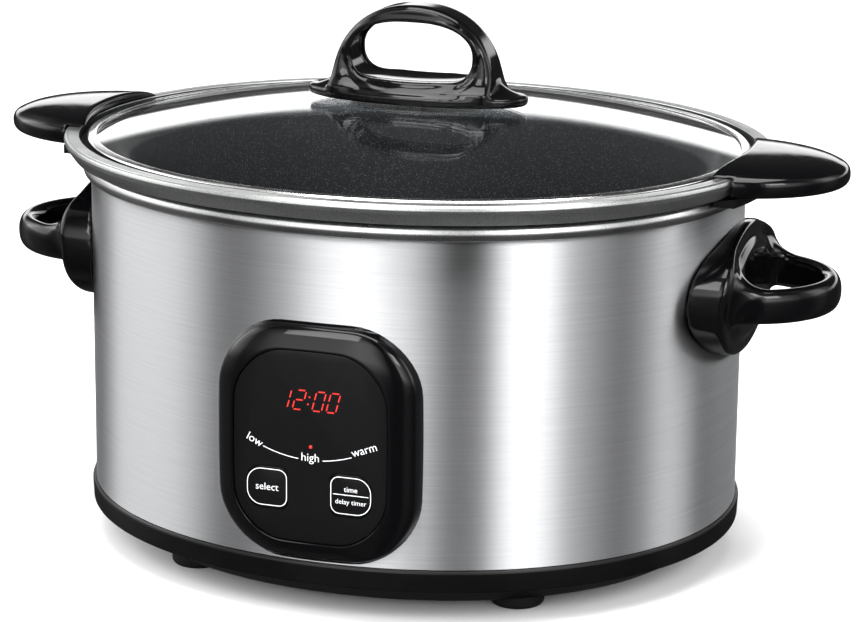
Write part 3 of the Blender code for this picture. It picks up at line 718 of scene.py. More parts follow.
def minus(piece: bpy.types.Object, *cutters: bmesh.types.BMesh) -> bpy.types.Object:
    """Cuts shapes out of a piece and keeps its finish.

    Args:
        piece: The piece that is cut.
        *cutters: The shapes, as meshes in millimetres.

    Returns:
        The same piece.
    """
    helpers = [piece_from(f"{piece.name}_cutter", cutter, STEEL) for cutter in cutters]
    for helper in helpers:
        modifier = piece.modifiers.new("cut", "BOOLEAN")
        modifier.object = helper
        modifier.solver = "EXACT"
        modifier.material_mode = "TRANSFER"
    kept = list(piece.data.materials)
    evaluated(piece)
    piece.data.materials.clear()
    for material in kept:
        piece.data.materials.append(material)
    for polygon in piece.data.polygons:
        polygon.material_index = 0
    for helper in helpers:
        bpy.data.objects.remove(helper)
    piece.data.set_sharp_from_angle(angle=math.radians(CREASE))
    return piece


# Geometry-node trees -----------------------------------------------------------------------------------


class NodeTool:
    """A geometry-node tree with named inputs, built once, and run on an object to give it a plain mesh."""

    title = "node_tool"
    inputs: tuple[tuple[str, str], ...] = ()

    @classmethod
    def tree(cls) -> bpy.types.NodeTree:
        """The tree, made on first use; its first input is always the object's own geometry.

        Returns:
            The tool's tree.
        """
        found = bpy.data.node_groups.get(cls.title)
        if found:
            return found
        tree = bpy.data.node_groups.new(cls.title, "GeometryNodeTree")
        tree.interface.new_socket("Geometry", in_out="INPUT", socket_type="NodeSocketGeometry")
        for name, kind in cls.inputs:
            tree.interface.new_socket(name, in_out="INPUT", socket_type=kind)
        tree.interface.new_socket("Material", in_out="INPUT", socket_type="NodeSocketMaterial")
        tree.interface.new_socket("Geometry", in_out="OUTPUT", socket_type="NodeSocketGeometry")
        given = add_node(tree, "NodeGroupInput").outputs
        shape = cls.build(tree, given)
        real = add_node(tree, "GeometryNodeRealizeInstances", {"Geometry": shape})
        inked = add_node(
            tree,
            "GeometryNodeSetMaterial",
            {"Geometry": real.outputs["Geometry"], "Material": given["Material"]},
        )
        add_node(tree, "NodeGroupOutput", {"Geometry": inked.outputs["Geometry"]})
        return tree

    @classmethod
    def build(cls, tree: bpy.types.NodeTree, given: Any) -> Any:
        """Adds the tool's own nodes and returns the socket of the shape."""
        raise NotImplementedError

    @classmethod
    def run(cls, piece: bpy.types.Object, finish: Finish, **values: Any) -> bpy.types.Object:
        """Runs the tool on an object and leaves it as a plain, dressed mesh.

        Args:
            piece: The object whose mesh is the tool's starting geometry.
            finish: The finish for what it makes.
            **values: A value for each named input, with _ for a space in its name.

        Returns:
            The same object.
        """
        tree = cls.tree()
        modifier = piece.modifiers.new(cls.title, "NODES")
        modifier.node_group = tree
        named = {name.replace("_", " ").lower(): value for name, value in values.items()}
        named["material"] = finish.material()
        for item in tree.interface.items_tree:
            if item.in_out == "INPUT" and item.name.lower() in named:
                modifier[item.identifier] = named[item.name.lower()]
        evaluated(piece)
        data = bmesh.new()
        data.from_mesh(piece.data)
        bmesh.ops.recalc_face_normals(data, faces=data.faces)
        data.to_mesh(piece.data)
        data.free()
        return dress(piece, finish)


class OvalLoft(NodeTool):
    """Carries a profile of (out, share, height) points round an oval, and merges its seam and poles."""

    title = "oval_loft"
    inputs = (
        ("Half Length", "NodeSocketFloat"),
        ("Half Width", "NodeSocketFloat"),
        ("Power", "NodeSocketFloat"),
        ("Centre", "NodeSocketVector"),
        ("Steps", "NodeSocketInt"),
        ("Joined", "NodeSocketInt"),
    )

    @classmethod
    def build(cls, tree: bpy.types.NodeTree, given: Any) -> Any:
        """A grid whose rows read the profile's points and whose columns go round the oval.

        Args:
            tree: The tool's tree.
            given: The sockets of its inputs.

        Returns:
            The socket of the shape.
        """
        count = add_node(tree, "GeometryNodeAttributeDomainSize", {"Geometry": given["Geometry"]})
        known = {name: given[name] for name in ("Half Length", "Half Width", "Power", "Steps", "Joined")}
        known["points"] = count.outputs["Point Count"]
        known["index"] = add_node(tree, "GeometryNodeInputIndex").outputs["Index"]
        counted = (
            ("rows", "ADD", "points", "Joined"),
            ("columns", "ADD", "Steps", 1.0),
            ("raised", "ADD", "index", 0.5),
            ("place", "DIVIDE", "raised", "rows"),
            ("column", "FLOOR", "place"),
            ("passed", "MULTIPLY", "column", "rows"),
            ("row", "SUBTRACT", "index", "passed"),
            ("wrapped", "MODULO", "row", "points"),
        )
        work_out(tree, known, counted)
        size = {"Vertices X": known["columns"], "Vertices Y": known["rows"]}
        grid = add_node(tree, "GeometryNodeMeshGrid", size)
        position = add_node(tree, "GeometryNodeInputPosition").outputs["Position"]
        sample = add_node(
            tree,
            "GeometryNodeSampleIndex",
            {"Geometry": given["Geometry"], "Value": position, "Index": known["wrapped"]},
            data_type="FLOAT_VECTOR",
        )
        parts = add_node(tree, "ShaderNodeSeparateXYZ", {"Vector": sample.outputs["Value"]})
        known["out"], known["share"], height = parts.outputs
        curved = (
            ("turned", "MULTIPLY", "column", math.tau),
            ("angle", "DIVIDE", "turned", "Steps"),
            ("exponent", "DIVIDE", 2.0, "Power"),
        )
        work_out(tree, known, curved)
        for trig, half in (("COSINE", "Half Length"), ("SINE", "Half Width")):
            reached = (
                ("value", trig, "angle"),
                ("sign", "SIGN", "value"),
                ("size", "ABSOLUTE", "value"),
                ("bent", "POWER", "size", "exponent"),
                ("signed", "MULTIPLY", "sign", "bent"),
                ("grown", "ADD", half, "out"),
                ("reach", "MULTIPLY", "grown", "share"),
                (trig, "MULTIPLY", "signed", "reach"),
            )
            work_out(tree, known, reached)
        spot = add_node(tree, "ShaderNodeCombineXYZ", {0: known["COSINE"], 1: known["SINE"], 2: height})
        moved = add_node(
            tree, "ShaderNodeVectorMath", {0: spot.outputs[0], 1: given["Centre"]}, operation="ADD"
        )
        shaped = add_node(
            tree,
            "GeometryNodeSetPosition",
            {"Geometry": grid.outputs["Mesh"], "Position": moved.outputs[0]},
        )
        seam = {"Geometry": shaped.outputs[0], "Distance": 2e-6}
        return add_node(tree, "GeometryNodeMergeByDistance", seam).outputs[0]


class SetOut(NodeTool):
    """Sets a small piece out on points, each turned as its point's turn attribute says."""

    title = "set_out"
    inputs = (("Pattern Piece", "NodeSocketObject"),)

    @classmethod
    def build(cls, tree: bpy.types.NodeTree, given: Any) -> Any:
        """Instances of the pattern piece on the points.

        Args:
            tree: The tool's tree.
            given: The sockets of its inputs.

        Returns:
            The socket of the shape.
        """
        pattern = add_node(tree, "GeometryNodeObjectInfo", {"Object": given["Pattern Piece"]})
        turn = add_node(tree, "GeometryNodeInputNamedAttribute", {"Name": "turn"}, data_type="FLOAT_VECTOR")
        rotation = add_node(tree, "FunctionNodeEulerToRotation", {"Euler": turn.outputs["Attribute"]})
        made = add_node(
            tree,
            "GeometryNodeInstanceOnPoints",
            {
                "Points": given["Geometry"],
                "Instance": pattern.outputs["Geometry"],
                "Rotation": rotation.outputs["Rotation"],
            },
        )
        return made.outputs["Instances"]


def points_object(name: str, points: Iterable[Point]) -> bpy.types.Object:
    """An object whose mesh is only points.

    Args:
        name: The object's name.
        points: The points, in millimetres.

    Returns:
        The object.
    """
    mesh = bpy.data.meshes.new(name)
    mesh.from_pydata([Vector(point) * MM for point in points], [], [])
    made = bpy.data.objects.new(name, mesh)
    bpy.context.scene.collection.objects.link(made)
    return made


def loft(
    name: str, profile: Profile, oval: Oval, finish: Finish, steps: int = 192, joined: bool = True
) -> bpy.types.Object:
    """Carries a profile round an oval.

    Args:
        name: The piece's name.
        profile: Points of (out, share of the oval, height), in millimetres but for the share.
        oval: What it goes round.
        finish: The piece's finish.
        steps: How many columns go round.
        joined: True for a profile that closes on itself, False for one that starts and ends at a pole.

    Returns:
        The dressed piece.
    """
    made = points_object(name, [(out, share / MM, height) for out, share, height in profile])
    return OvalLoft.run(
        made,
        finish,
        half_length=oval.half_length * MM,
        half_width=oval.half_width * MM,
        power=oval.power,
        centre=[value * MM for value in oval.centre],
        steps=steps,
        joined=int(joined),
    )


def set_out(
    name: str, pattern: bpy.types.Object, places: Sequence[tuple[Point, Point]], finish: Finish
) -> bpy.types.Object:
    """Copies a pattern piece to places, and removes the pattern.

    Args:
        name: The piece's name.
        pattern: The small piece, made round the origin.
        places: For each copy its place in millimetres and its turn as Euler angles.
        finish: The finish of them all.

    Returns:
        One dressed piece that holds every copy.
    """
    made = points_object(name, [place for place, _ in places])
    turns = made.data.attributes.new("turn", "FLOAT_VECTOR", "POINT")
    turns.data.foreach_set("vector", [value for _, turn in places for value in turn])
    SetOut.run(made, finish, pattern_piece=pattern)
    bpy.data.objects.remove(pattern)
    return made


def ride(piece: bpy.types.Object, body: Body, slot: str, *nodes: str) -> bpy.types.Object:
    """Puts a finished piece on its body, and lets it stand for CAD nodes.

    Args:
        piece: The piece.
        body: The body that it moves with.
        slot: The record's material slot; not used.
        *nodes: The CAD nodes that it stands for.

    Returns:
        The same piece.
    """
    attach(piece, body.value)
    if nodes:
        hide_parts(*nodes)
    LOG.info("%s: %d faces on %s", piece.name, len(piece.data.polygons), body.value)
    return piece


# Cast shapes -------------------------------------------------------------------------------------------


def soft_max(first: np.ndarray, second: np.ndarray, blend: float) -> np.ndarray:
    """The larger of two distances, with the edge between them rounded over a blend width."""
    mix = np.clip(0.5 + 0.5 * (first - second) / blend, 0.0, 1.0)
    return second + (first - second) * mix + blend * mix * (1.0 - mix)


def soft_min(first: np.ndarray, second: np.ndarray, blend: float) -> np.ndarray:
    """The smaller of two distances, with the corner between them filled over a blend width."""
    return -soft_max(-first, -second, blend)


def ellipse_distance(u: np.ndarray, v: np.ndarray, half_u: float, half_v: float) -> np.ndarray:
    """About the distance to an ellipse, negative inside.

    Args:
        u: Places along the first half-axis.
        v: Places along the second.
        half_u: The first half-axis.
        half_v: The second.

    Returns:
        The distances.
    """
    near = np.sqrt((u / half_u) ** 2 + (v / half_v) ** 2)
    slope = np.sqrt((u / half_u**2) ** 2 + (v / half_v**2) ** 2)
    return near * (near - 1.0) / np.maximum(slope, 1e-6)


def power_distance(u: np.ndarray, v: np.ndarray, half_u: float, half_v: float, power: float) -> np.ndarray:
    """About the distance to a superellipse, negative inside.

    Args:
        u: Places along the first half-axis.
        v: Places along the second.
        half_u: The first half-axis.
        half_v: The second.
        power: Its exponent.

    Returns:
        The distances.
    """
    near = (np.abs(u / half_u) ** power + np.abs(v / half_v) ** power) ** (1.0 / power)
    radius = np.sqrt(u**2 + v**2)
    return radius * (1.0 - 1.0 / np.maximum(near, 1e-6))


def cast(name: str, field: Field, low: Point, high: Point, cell: float, finish: Finish) -> bpy.types.Object:
    """Makes a smooth solid where a field of distances is negative, as a moulding from a die would be.

    Args:
        name: The piece's name.
        field: Gives the distance at arrays of X, Y and Z.
        low: The lowest corner of the space to fill, in millimetres.
        high: The highest corner.
        cell: The size of a cell.
        finish: The piece's finish.

    Returns:
        The dressed piece.
    """
    counts = [int((b - a) / cell) + 2 for a, b in zip(low, high)]
    axes = [a + cell * np.arange(count) for a, count in zip(low, counts)]
    values = field(*np.meshgrid(*axes, indexing="ij")).astype(np.float32)
    grid = openvdb.FloatGrid(float(values.max()))
    grid.copyFromArray(values)
    points, quads = grid.convertToQuads(0.0)
    spots = np.asarray(points, float) * cell + np.array(low)
    mesh = bpy.data.meshes.new(name)
    mesh.from_pydata((spots * MM).tolist(), [], np.asarray(quads).tolist())
    data = bmesh.new()
    data.from_mesh(mesh)
    for _ in range(3):
        bmesh.ops.smooth_vert(
            data, verts=data.verts, factor=0.5, use_axis_x=True, use_axis_y=True, use_axis_z=True
        )
    bmesh.ops.scale(data, vec=(1 / MM,) * 3, verts=data.verts)
    bpy.data.meshes.remove(mesh)
    return piece_from(name, data, finish, crease=80.0)


class PrintLine(NodeTool):
    """Lays a low, round-topped line of ink along the edges of a mesh that lies flat."""

    title = "print_line"
    inputs = (("Line Width", "NodeSocketFloat"), ("Relief", "NodeSocketFloat"))

    @classmethod
    def build(cls, tree: bpy.types.NodeTree, given: Any) -> Any:
        """A round section along each line, pressed flat by the relief's share.

        Args:
            tree: The tool's tree.
            given: The sockets of its inputs.

        Returns:
            The socket of the shape.
        """
        path = add_node(tree, "GeometryNodeMeshToCurve", {"Mesh": given["Geometry"]})
        half = add_node(tree, "ShaderNodeMath", {0: given["Line Width"], 1: 0.5}, operation="MULTIPLY")
        section = add_node(
            tree, "GeometryNodeCurvePrimitiveCircle", {"Resolution": 8, "Radius": half.outputs[0]}
        )
        line = add_node(
            tree,
            "GeometryNodeCurveToMesh",
            {"Curve": path.outputs[0], "Profile Curve": section.outputs[0], "Fill Caps": True},
        )
        press = add_node(tree, "ShaderNodeCombineXYZ", {0: 1.0, 1: 1.0, 2: given["Relief"]})
        flat = add_node(
            tree, "GeometryNodeTransform", {"Geometry": line.outputs[0], "Scale": press.outputs[0]}
        )
        return flat.outputs[0]


def outline(half: Flat, radii: Sequence[float], centre: Flat = (0.0, 0.0), bulge: float = 0.0) -> list[Flat]:
    """A rounded rectangle, starting at the middle of its right side.

    Args:
        half: Half its width and half its height.
        radii: A radius each for its corners: top right, top left, bottom left, bottom right.
        centre: Its middle.
        bulge: How far its sides bow out at their middles.

    Returns:
        The points of the outline.
    """
    width, height = half
    found: list[Flat] = []
    for number, radius in enumerate(radii):
        side_x, side_z = ((1, 1), (-1, 1), (-1, -1), (1, -1))[number]
        middle = (side_x * (width - radius), side_z * (height - radius))
        arc = [math.pi / 2 * (number + step / 12) for step in range(13)]
        corner = [(middle[0] + radius * math.cos(a), middle[1] + radius * math.sin(a)) for a in arc]
        nearest = found[-1] if found else (width, -side_z * (height - radii[-1]))
        for step in range(1, 8):
            t = step / 8
            found.append(tuple(a + (b - a) * t for a, b in zip(nearest, corner[0])))
        found.extend(corner)
    bowed = []
    for x, z in found:
        wide = x + math.copysign(bulge, x) * (1 - (z / height) ** 2) * (abs(x) / width) ** 4
        tall = z + math.copysign(bulge, z) * (1 - (x / width) ** 2) * (abs(z) / height) ** 4
        bowed.append((wide + centre[0], tall + centre[1]))
    return bowed


def slab(levels: Iterable[tuple[float, list[Flat]]]) -> bmesh.types.BMesh:
    """A capped solid through outlines that stand in the X-Z plane, each at its own depth."""
    return skin([[(x, depth, z) for x, z in ring] for depth, ring in levels], joined=False)


def turned(
    profile: Sequence[Flat], centre: Point, steps: int = 48, along: int = 1, joined: bool = True
) -> bmesh.types.BMesh:
    """A solid of revolution from (radius, level) points.

    Args:
        profile: The section's points.
        centre: A point of the axis.
        steps: How many sides it has.
        along: The axis: 0 for X, 1 for Y, 2 for Z.
        joined: True for a pipe, False for a capped solid.

    Returns:
        The mesh, in millimetres.
    """
    rings = []
    for radius, level in profile:
        ring = []
        for step in range(steps):
            angle = math.tau * step / steps
            spot = [radius * math.cos(angle), radius * math.sin(angle)]
            spot.insert(along, level)
            ring.append(tuple(a + b for a, b in zip(spot, centre)))
        rings.append(ring)
    return skin(rings, joined)


# The parts ---------------------------------------------------------------------------------------------


WRAP = Oval(162.0, 142.0)
CELL = 0.8


@dataclass
class Housing:
    """The brushed wall, the rolled bead on its top, and the heating well inside it."""

    wall: float = 0.8
    bottom: float = 28.3
    top: float = 187.4
    bead_top: float = 191.0
    well_floor: float = 38.0
    gland_z: float = 44.0

    def build(self) -> None:
        """Makes the three pieces."""
        self.make_wrap()
        self.make_bead()
        self.make_well()

    def make_wrap(self) -> None:
        """A thin sheet round the oval, open behind the panel and at the cord gland."""
        section = [(0.0, self.bottom, 0.0), (0.0, self.top, 0.0), (-self.wall, self.top, 0.0)]
        section.append((-self.wall, self.bottom, 0.0))
        wrap = loft("housing_wall", rounded(section), WRAP, STEEL, steps=320)
        hole = outline((36.0, 45.0), (12.0,) * 4, (0.0, 84.0))
        panel = slab([(-155.0, hole), (-120.0, hole)])
        gland = turned([(7.75, 130.0), (7.75, 150.0)], (0.0, 0.0, self.gland_z), joined=False)
        ride(minus(wrap, panel, gland), Body.BASE, "brushed_steel", "housing_wrap")

    def make_bead(self) -> None:
        """The rolled ring: a quarter-round that overhangs the wall, and a flat ledge inside it."""
        low, high = self.bead_top - 7.4, self.bead_top
        corners = [
            (0.35, low, 0.0),
            (0.35, self.top + 0.35, 0.0),
            (-8.0, self.top + 0.35, 0.0),
            (-8.0, high, 0.3),
            (0.9, high, 1.2),
            (3.2, high - 1.0, 2.0),
            (4.2, high - 3.9, 2.6),
            (3.4, high - 6.6, 1.6),
            (2.3, low, 0.4),
        ]
        bead = loft("housing_bead", rounded(corners), WRAP, RIM_STEEL, steps=256)
        ride(bead, Body.BASE, "spun_steel", "housing_rim")

    def make_well(self) -> None:
        """The pressed well: a flange on the wall's top, a sloping wall, and a floor with a sensor hole."""
        floor, flange = self.well_floor, self.top - self.wall - 0.2
        outer = [
            (-33.0, floor, 0.0),
            (-25.0, floor + 2.0, 4.0),
            (-20.4, floor + 12.0, 6.0),
            (-14.0, flange - 2.0, 2.5),
            (-12.0, flange, 1.5),
            (-1.4, flange, 0.0),
        ]
        inner = [
            (-1.4, flange + self.wall, 0.0),
            (-12.6, flange + self.wall, 1.5),
            (-14.8, flange - 2.0, 2.5),
            (-21.2, floor + 12.4, 6.0),
            (-25.6, floor + 2.9, 4.0),
            (-33.0, floor + self.wall, 0.0),
        ]
        hole_share = 0.0675
        profile = [(0.0, hole_share, floor), *rounded(outer, joined=False), *rounded(inner, joined=False)]
        profile.append((0.0, hole_share, floor + self.wall))
        ride(loft("heating_bowl", profile, WRAP, ZINC), Body.BASE, "galvanised", "heating_well")


@dataclass
class BaseMoulding:
    """The black base: its band and tray, the ribs on its cover, and the four feet."""

    top: float = 28.0
    step: float = 16.7
    tray: float = 6.7
    foot_place: Flat = (81.4, 86.0)
    foot_radius: float = 13.0

    def build(self) -> None:
        """Makes the shell, the ribs and the feet."""
        self.make_shell()
        self.make_ribs()
        self.make_feet()

    def make_shell(self) -> None:
        """A straight band under the wall, and a tray that slopes in to the feet."""
        opening = 0.53
        outer = [
            (-1.15, self.top, 0.0),
            (1.4, self.top, 0.5),
            (1.8, self.top - 1.3, 0.8),
            (1.4, self.step + 1.0, 0.9),
            (-2.0, self.step, 1.0),
            (-16.4, self.tray + 1.2, 3.0),
            (-18.4, self.tray, 0.0),
        ]
        inner = [
            (-18.4, self.tray + 2.5, 0.0),
            (-5.2, self.step + 2.2, 3.0),
            (-2.75, self.top - 3.0, 2.0),
            (-2.75, self.top + 5.0, 0.5),
            (-1.15, self.top + 5.0, 0.0),
        ]
        mouth = [(0.0, opening, self.tray), (0.0, opening, self.tray + 2.5)]
        profile = [*rounded(outer, joined=False), *mouth, *rounded(inner, joined=False)]
        shell = loft("base_moulding", profile, WRAP, SATIN_BLACK, steps=256)
        ride(shell, Body.BASE, "satin_black", "base_shell")

    def make_ribs(self) -> None:
        """Two rows of low vent ribs across the cover's underside."""
        shape = outline((22.0, 1.5), (1.4,) * 4)
        data = skin([[(x, y, z) for x, y in shape] for z in (0.0, 0.9)], joined=False)
        low = span("base_cover")[0].z - 0.88
        rib = piece_from("rib_pattern", data, SATIN_BLACK)
        places = [((x, y, low), (0.0, 0.0, 0.0)) for x in (-34.0, 34.0) for y in range(-28, 29, 8)]
        ride(set_out("cover_ribs", rib, places, SATIN_BLACK), Body.BASE, "satin_black")

    def make_feet(self) -> None:
        """Rubber feet with a rounded sole and a shallow dish under it."""
        radius = self.foot_radius
        high = self.tray - 0.35
        section = [
            (0.0, 0.9),
            (radius - 5.0, 0.9),
            (radius - 4.4, 0.0),
            (radius - 2.4, 0.0),
            (radius - 1.0, 0.35),
            (radius - 0.2, 1.3),
            (radius, 2.4),
            (radius, high - 0.4),
            (radius - 0.4, high),
            (4.0, high),
            (4.0, 10.4),
            (0.0, 10.4),
        ]
        data = turned(section, ORIGIN, steps=40, along=2)
        foot = piece_from("foot_pattern", data, RUBBER)
        x, y = self.foot_place
        places = [((sx * x, sy * y, 0.0), (0.0, 0.0, 0.0)) for sx in (-1, 1) for sy in (-1, 1)]
        nodes = [f"foot_{row}_{side.word}" for row in ("front", "rear") for side in Side]
        ride(set_out("rubber_feet", foot, places, RUBBER), Body.BASE, "rubber", *nodes)


@dataclass
class ControlPanel:
    """The panel on the wall: a bevelled frame, a smoked window, its prints, its lit digits and its keys."""

    half: Flat = (49.4, 57.0)
    middle: Flat = (1.3, 85.9)
    front: float = -148.4
    corner: float = 31.0
    window_half: Flat = (37.4, 45.4)
    window_middle: float = 84.8
    window_front: float = -147.4
    window_corner: float = 23.0
    bow: float = 1.4
    keys: tuple[tuple[Body, float], ...] = ((Body.SELECT, -21.0), (Body.TIMER, 20.0))
    key_half: float = 10.0
    key_inset: float = 0.2
    key_z: float = 64.0
    stem_half: float = 2.0
    flange_half: float = 11.2
    travel: float = 0.8
    gap: float = 0.35
    cut_front: float = -155.0
    cut_back: float = -130.0
    arc_low: float = 79.0
    arc_radius: float = 60.5
    ink_wide: float = 0.36
    ink_relief: float = 0.15
    ink_thick: float = 0.025

    def build(self) -> None:
        """Makes every piece of the panel."""
        self.make_frame()
        self.make_window()
        self.make_keys()
        self.make_digits()
        self.make_prints()

    def frame_ring(self, share: float, depth: float) -> list[Point]:
        """A ring of the frame.

        Args:
            share: How far it is from the outer outline (0) to the window's (1).
            depth: Its place along Y.

        Returns:
            The ring's points.
        """
        bow = self.bow
        outer_half = (self.half[0] - bow, self.half[1] - bow)
        outer = outline(outer_half, (self.corner,) * 4, self.middle, bow)
        inner_half = (self.window_half[0] + 0.3 - bow, self.window_half[1] + 0.3 - bow)
        inner = outline(inner_half, (self.window_corner,) * 4, (0.0, self.window_middle), bow)
        mixed = [(a + (c - a) * share, b + (d - b) * share) for (a, b), (c, d) in zip(outer, inner)]
        return [(x, depth, z) for x, z in mixed]

    def make_frame(self) -> None:
        """A side that rises off the curved wall, and a wide bevel up to a fine bead round the window."""
        front = self.front
        rings = [[(x, -WRAP.reach(x, 0.2, along_x=False), z) for x, _, z in self.frame_ring(0.0, 0.0)]]
        sections = (
            (0.06, 7.4),
            (0.12, 5.6),
            (0.2, 4.4),
            (0.3, 3.4),
            (0.6, 1.5),
            (0.86, 0.35),
            (0.93, 0.05),
            (0.97, 0.0),
            (0.99, 0.2),
            (1.0, 0.6),
            (1.0, 4.6),
        )
        rings += [self.frame_ring(share, front + depth) for share, depth in sections]
        mouth = outline((34.0, 42.0), (12.0,) * 4, (0.0, 84.0))
        rings.append([(x, front + 4.6, z) for x, z in mouth])
        rings.append([(x, -WRAP.reach(x, -0.9, along_x=False), z) for x, z in mouth])
        frame = piece_from("panel_frame", skin(rings, joined=True), GLOSS_BLACK, crease=50.0)
        ride(frame, Body.BASE, "gloss_black", "control_bezel")

    def key_radii(self, x: float) -> tuple[float, ...]:
        """Each key is rounder on the side that faces the panel's edge."""
        small, large = 4.0, self.key_half * 0.8
        return (small, large, large, small) if x < 0 else (large, small, small, large)

    def make_window(self) -> None:
        """The smoked sheet, with a softened edge and a hole for each key."""
        radii = (self.window_corner,) * 4
        middle = (0.0, self.window_middle)
        width, height = (side - self.bow for side in self.window_half)
        edges = ((0.0, 2.0), (0.0, 0.3), (0.1, 0.09), (0.3, 0.0))
        levels = [
            (self.window_front + depth, outline((width - step, height - step), radii, middle, self.bow))
            for step, depth in edges
        ]
        window = piece_from("panel_window", slab(levels), WINDOW_BLACK)
        holes = []
        for _, x in self.keys:
            ring = outline((self.key_half + self.gap,) * 2, self.key_radii(x), (x, self.key_z))
            holes.append(slab([(self.cut_front, ring), (self.cut_back, ring)]))
        ride(minus(window, *holes), Body.BASE, "window_black", "control_window")

    def make_keys(self) -> None:
        """Each key: a stem to its switch, a flange behind the window, and a cap with a soft edge."""
        board_front, switch_tall = -136.4, 3.4
        stem_end = board_front - switch_tall - self.gap - self.travel
        flange = self.window_front + 2.35
        flange_back = flange + 1.2
        half = self.key_half
        for body, x in self.keys:
            place = (x, self.key_z)
            radii = self.key_radii(x)
            stem_ring = outline((self.stem_half,) * 2, (self.stem_half,) * 4, place)
            flange_ring = outline((self.flange_half,) * 2, (4.0,) * 4, place)
            levels = [
                (stem_end, stem_ring),
                (flange_back, stem_ring),
                (flange_back, flange_ring),
                (flange, flange_ring),
                (flange, outline((half, half), radii, place)),
            ]
            for step, depth in ((0.0, 0.3), (0.1, 0.09), (0.3, 0.0)):
                ring = outline((half - step, half - step), radii, place)
                levels.append((self.window_front - self.key_inset + depth, ring))
            cap = piece_from(f"{body.name.lower()}_key", slab(levels), WINDOW_BLACK)
            ride(cap, body, "window_black", body.value)

    def onto_panel(self, piece: bpy.types.Object, depth: float) -> bpy.types.Object:
        """Stands a flat mesh up in the panel's plane.

        Args:
            piece: The object with the mesh.
            depth: Its place along Y.

        Returns:
            The same object.
        """
        rotation = Matrix.Rotation(math.pi / 2, 4, "X")
        piece.data.transform(Matrix.Translation((0.0, depth * MM, 0.0)) @ rotation)
        return piece

    def make_digits(self) -> None:
        """Seven-segment figures for twelve o'clock, leaning as the module's do."""
        bar_half, bar_width, bar_thick, rise = 1.8, 0.33, 0.06, 2.3
        shape = [
            (-bar_half, 0.0),
            (-bar_half + bar_width, -bar_width),
            (bar_half - bar_width, -bar_width),
            (bar_half, 0.0),
            (bar_half - bar_width, bar_width),
            (-bar_half + bar_width, bar_width),
        ]
        data = skin([[(x, y, z) for x, y in shape] for z in (0.0, bar_thick)], joined=False)
        bar = piece_from("bar_pattern", data, DIODE)
        upright, across = (0.0, 0.0, math.pi / 2), (0.0, 0.0, 0.0)
        spots = {
            "a": (0.0, 2 * rise, across),
            "b": (rise, rise, upright),
            "c": (rise, -rise, upright),
            "d": (0.0, -2 * rise, across),
            "e": (-rise, -rise, upright),
            "f": (-rise, rise, upright),
            "g": (0.0, 0.0, across),
        }
        middle, leaning = 107.3, 0.27
        places = []
        for x, lit in ((-12.2, "bc"), (-5.0, "abged"), (4.5, "abcdef"), (11.4, "abcdef")):
            for letter in lit:
                along, up, turn = spots[letter]
                places.append(((x + along, up, 0.0), turn))
        digits = set_out("clock_digits", bar, places, DIODE)
        lean = Matrix.Identity(4)
        lean[0][1] = leaning
        digits.data.transform(Matrix.Translation((0.0, middle * MM, 0.0)) @ lean)
        ride(self.onto_panel(digits, self.window_front - 0.02), Body.BASE, "red_lens")
        dot_section = [(0.0, -0.07), (0.42, -0.07), (0.46, 0.0), (0.0, 0.0)]
        lens_section = [(0.0, -0.35), (0.5, -0.28), (0.8, -0.1), (0.9, 0.3), (0.0, 0.3)]
        lamps = (
            ("clock_dots", dot_section, 20, [(-0.9, 105.6), (-0.1, 109.0)]),
            ("lit_lamp", lens_section, 28, [(0.4, 85.4)]),
        )
        for name, section, sides, spots_lit in lamps:
            dot = piece_from(f"{name}_pattern", turned(section, ORIGIN, steps=sides), DIODE)
            places = [((x, self.window_front, z), across) for x, z in spots_lit]
            ride(set_out(name, dot, places, DIODE), Body.BASE, "red_lens")

    def make_prints(self) -> None:
        """The pale prints: the words for the settings on an arc, and an outline and a word on each key."""
        arc_middle, pieces = self.arc_low + self.arc_radius, 12
        for number, (start, end) in enumerate(((-22.9, -5.6), (6.2, 20.3))):
            places = [start + (end - start) * step / pieces for step in range(pieces + 1)]
            points = [(x, arc_middle - math.sqrt(self.arc_radius**2 - x**2)) for x in places]
            self.ink_line(f"arc_line_{number + 1}", points, False, Body.BASE, self.window_front)
        words = (("low", -27.0, 86.0, -27.0), ("high", 0.2, 80.2, 0.0), ("warm", 26.4, 86.6, 21.0))
        for word, x, z, turn in words:
            self.ink_word(f"word_{word}", word, (x, z), turn, 5.6, Body.BASE, self.window_front)
        front = self.window_front - self.key_inset
        wide, tall = self.key_half - 0.35, self.key_half - 1.3
        for body, x in self.keys:
            radii = tuple(min(radius, 7.0) for radius in self.key_radii(x))
            ring = outline((wide, tall), radii, (x, self.key_z))
            self.ink_line(f"{body.name.lower()}_outline", ring, True, body, front)
        self.ink_word("word_select", "select", (-21.0, self.key_z), 0.0, 4.9, Body.SELECT, front)
        self.ink_word("word_time", "time", (20.0, self.key_z + 3.0), 0.0, 3.7, Body.TIMER, front)
        self.ink_word("word_delay", "delay timer", (20.0, self.key_z - 3.0), 0.0, 3.35, Body.TIMER, front)
        bar = [(11.4, self.key_z + 0.4), (28.6, self.key_z + 0.4)]
        self.ink_line("timer_rule", bar, False, Body.TIMER, front)

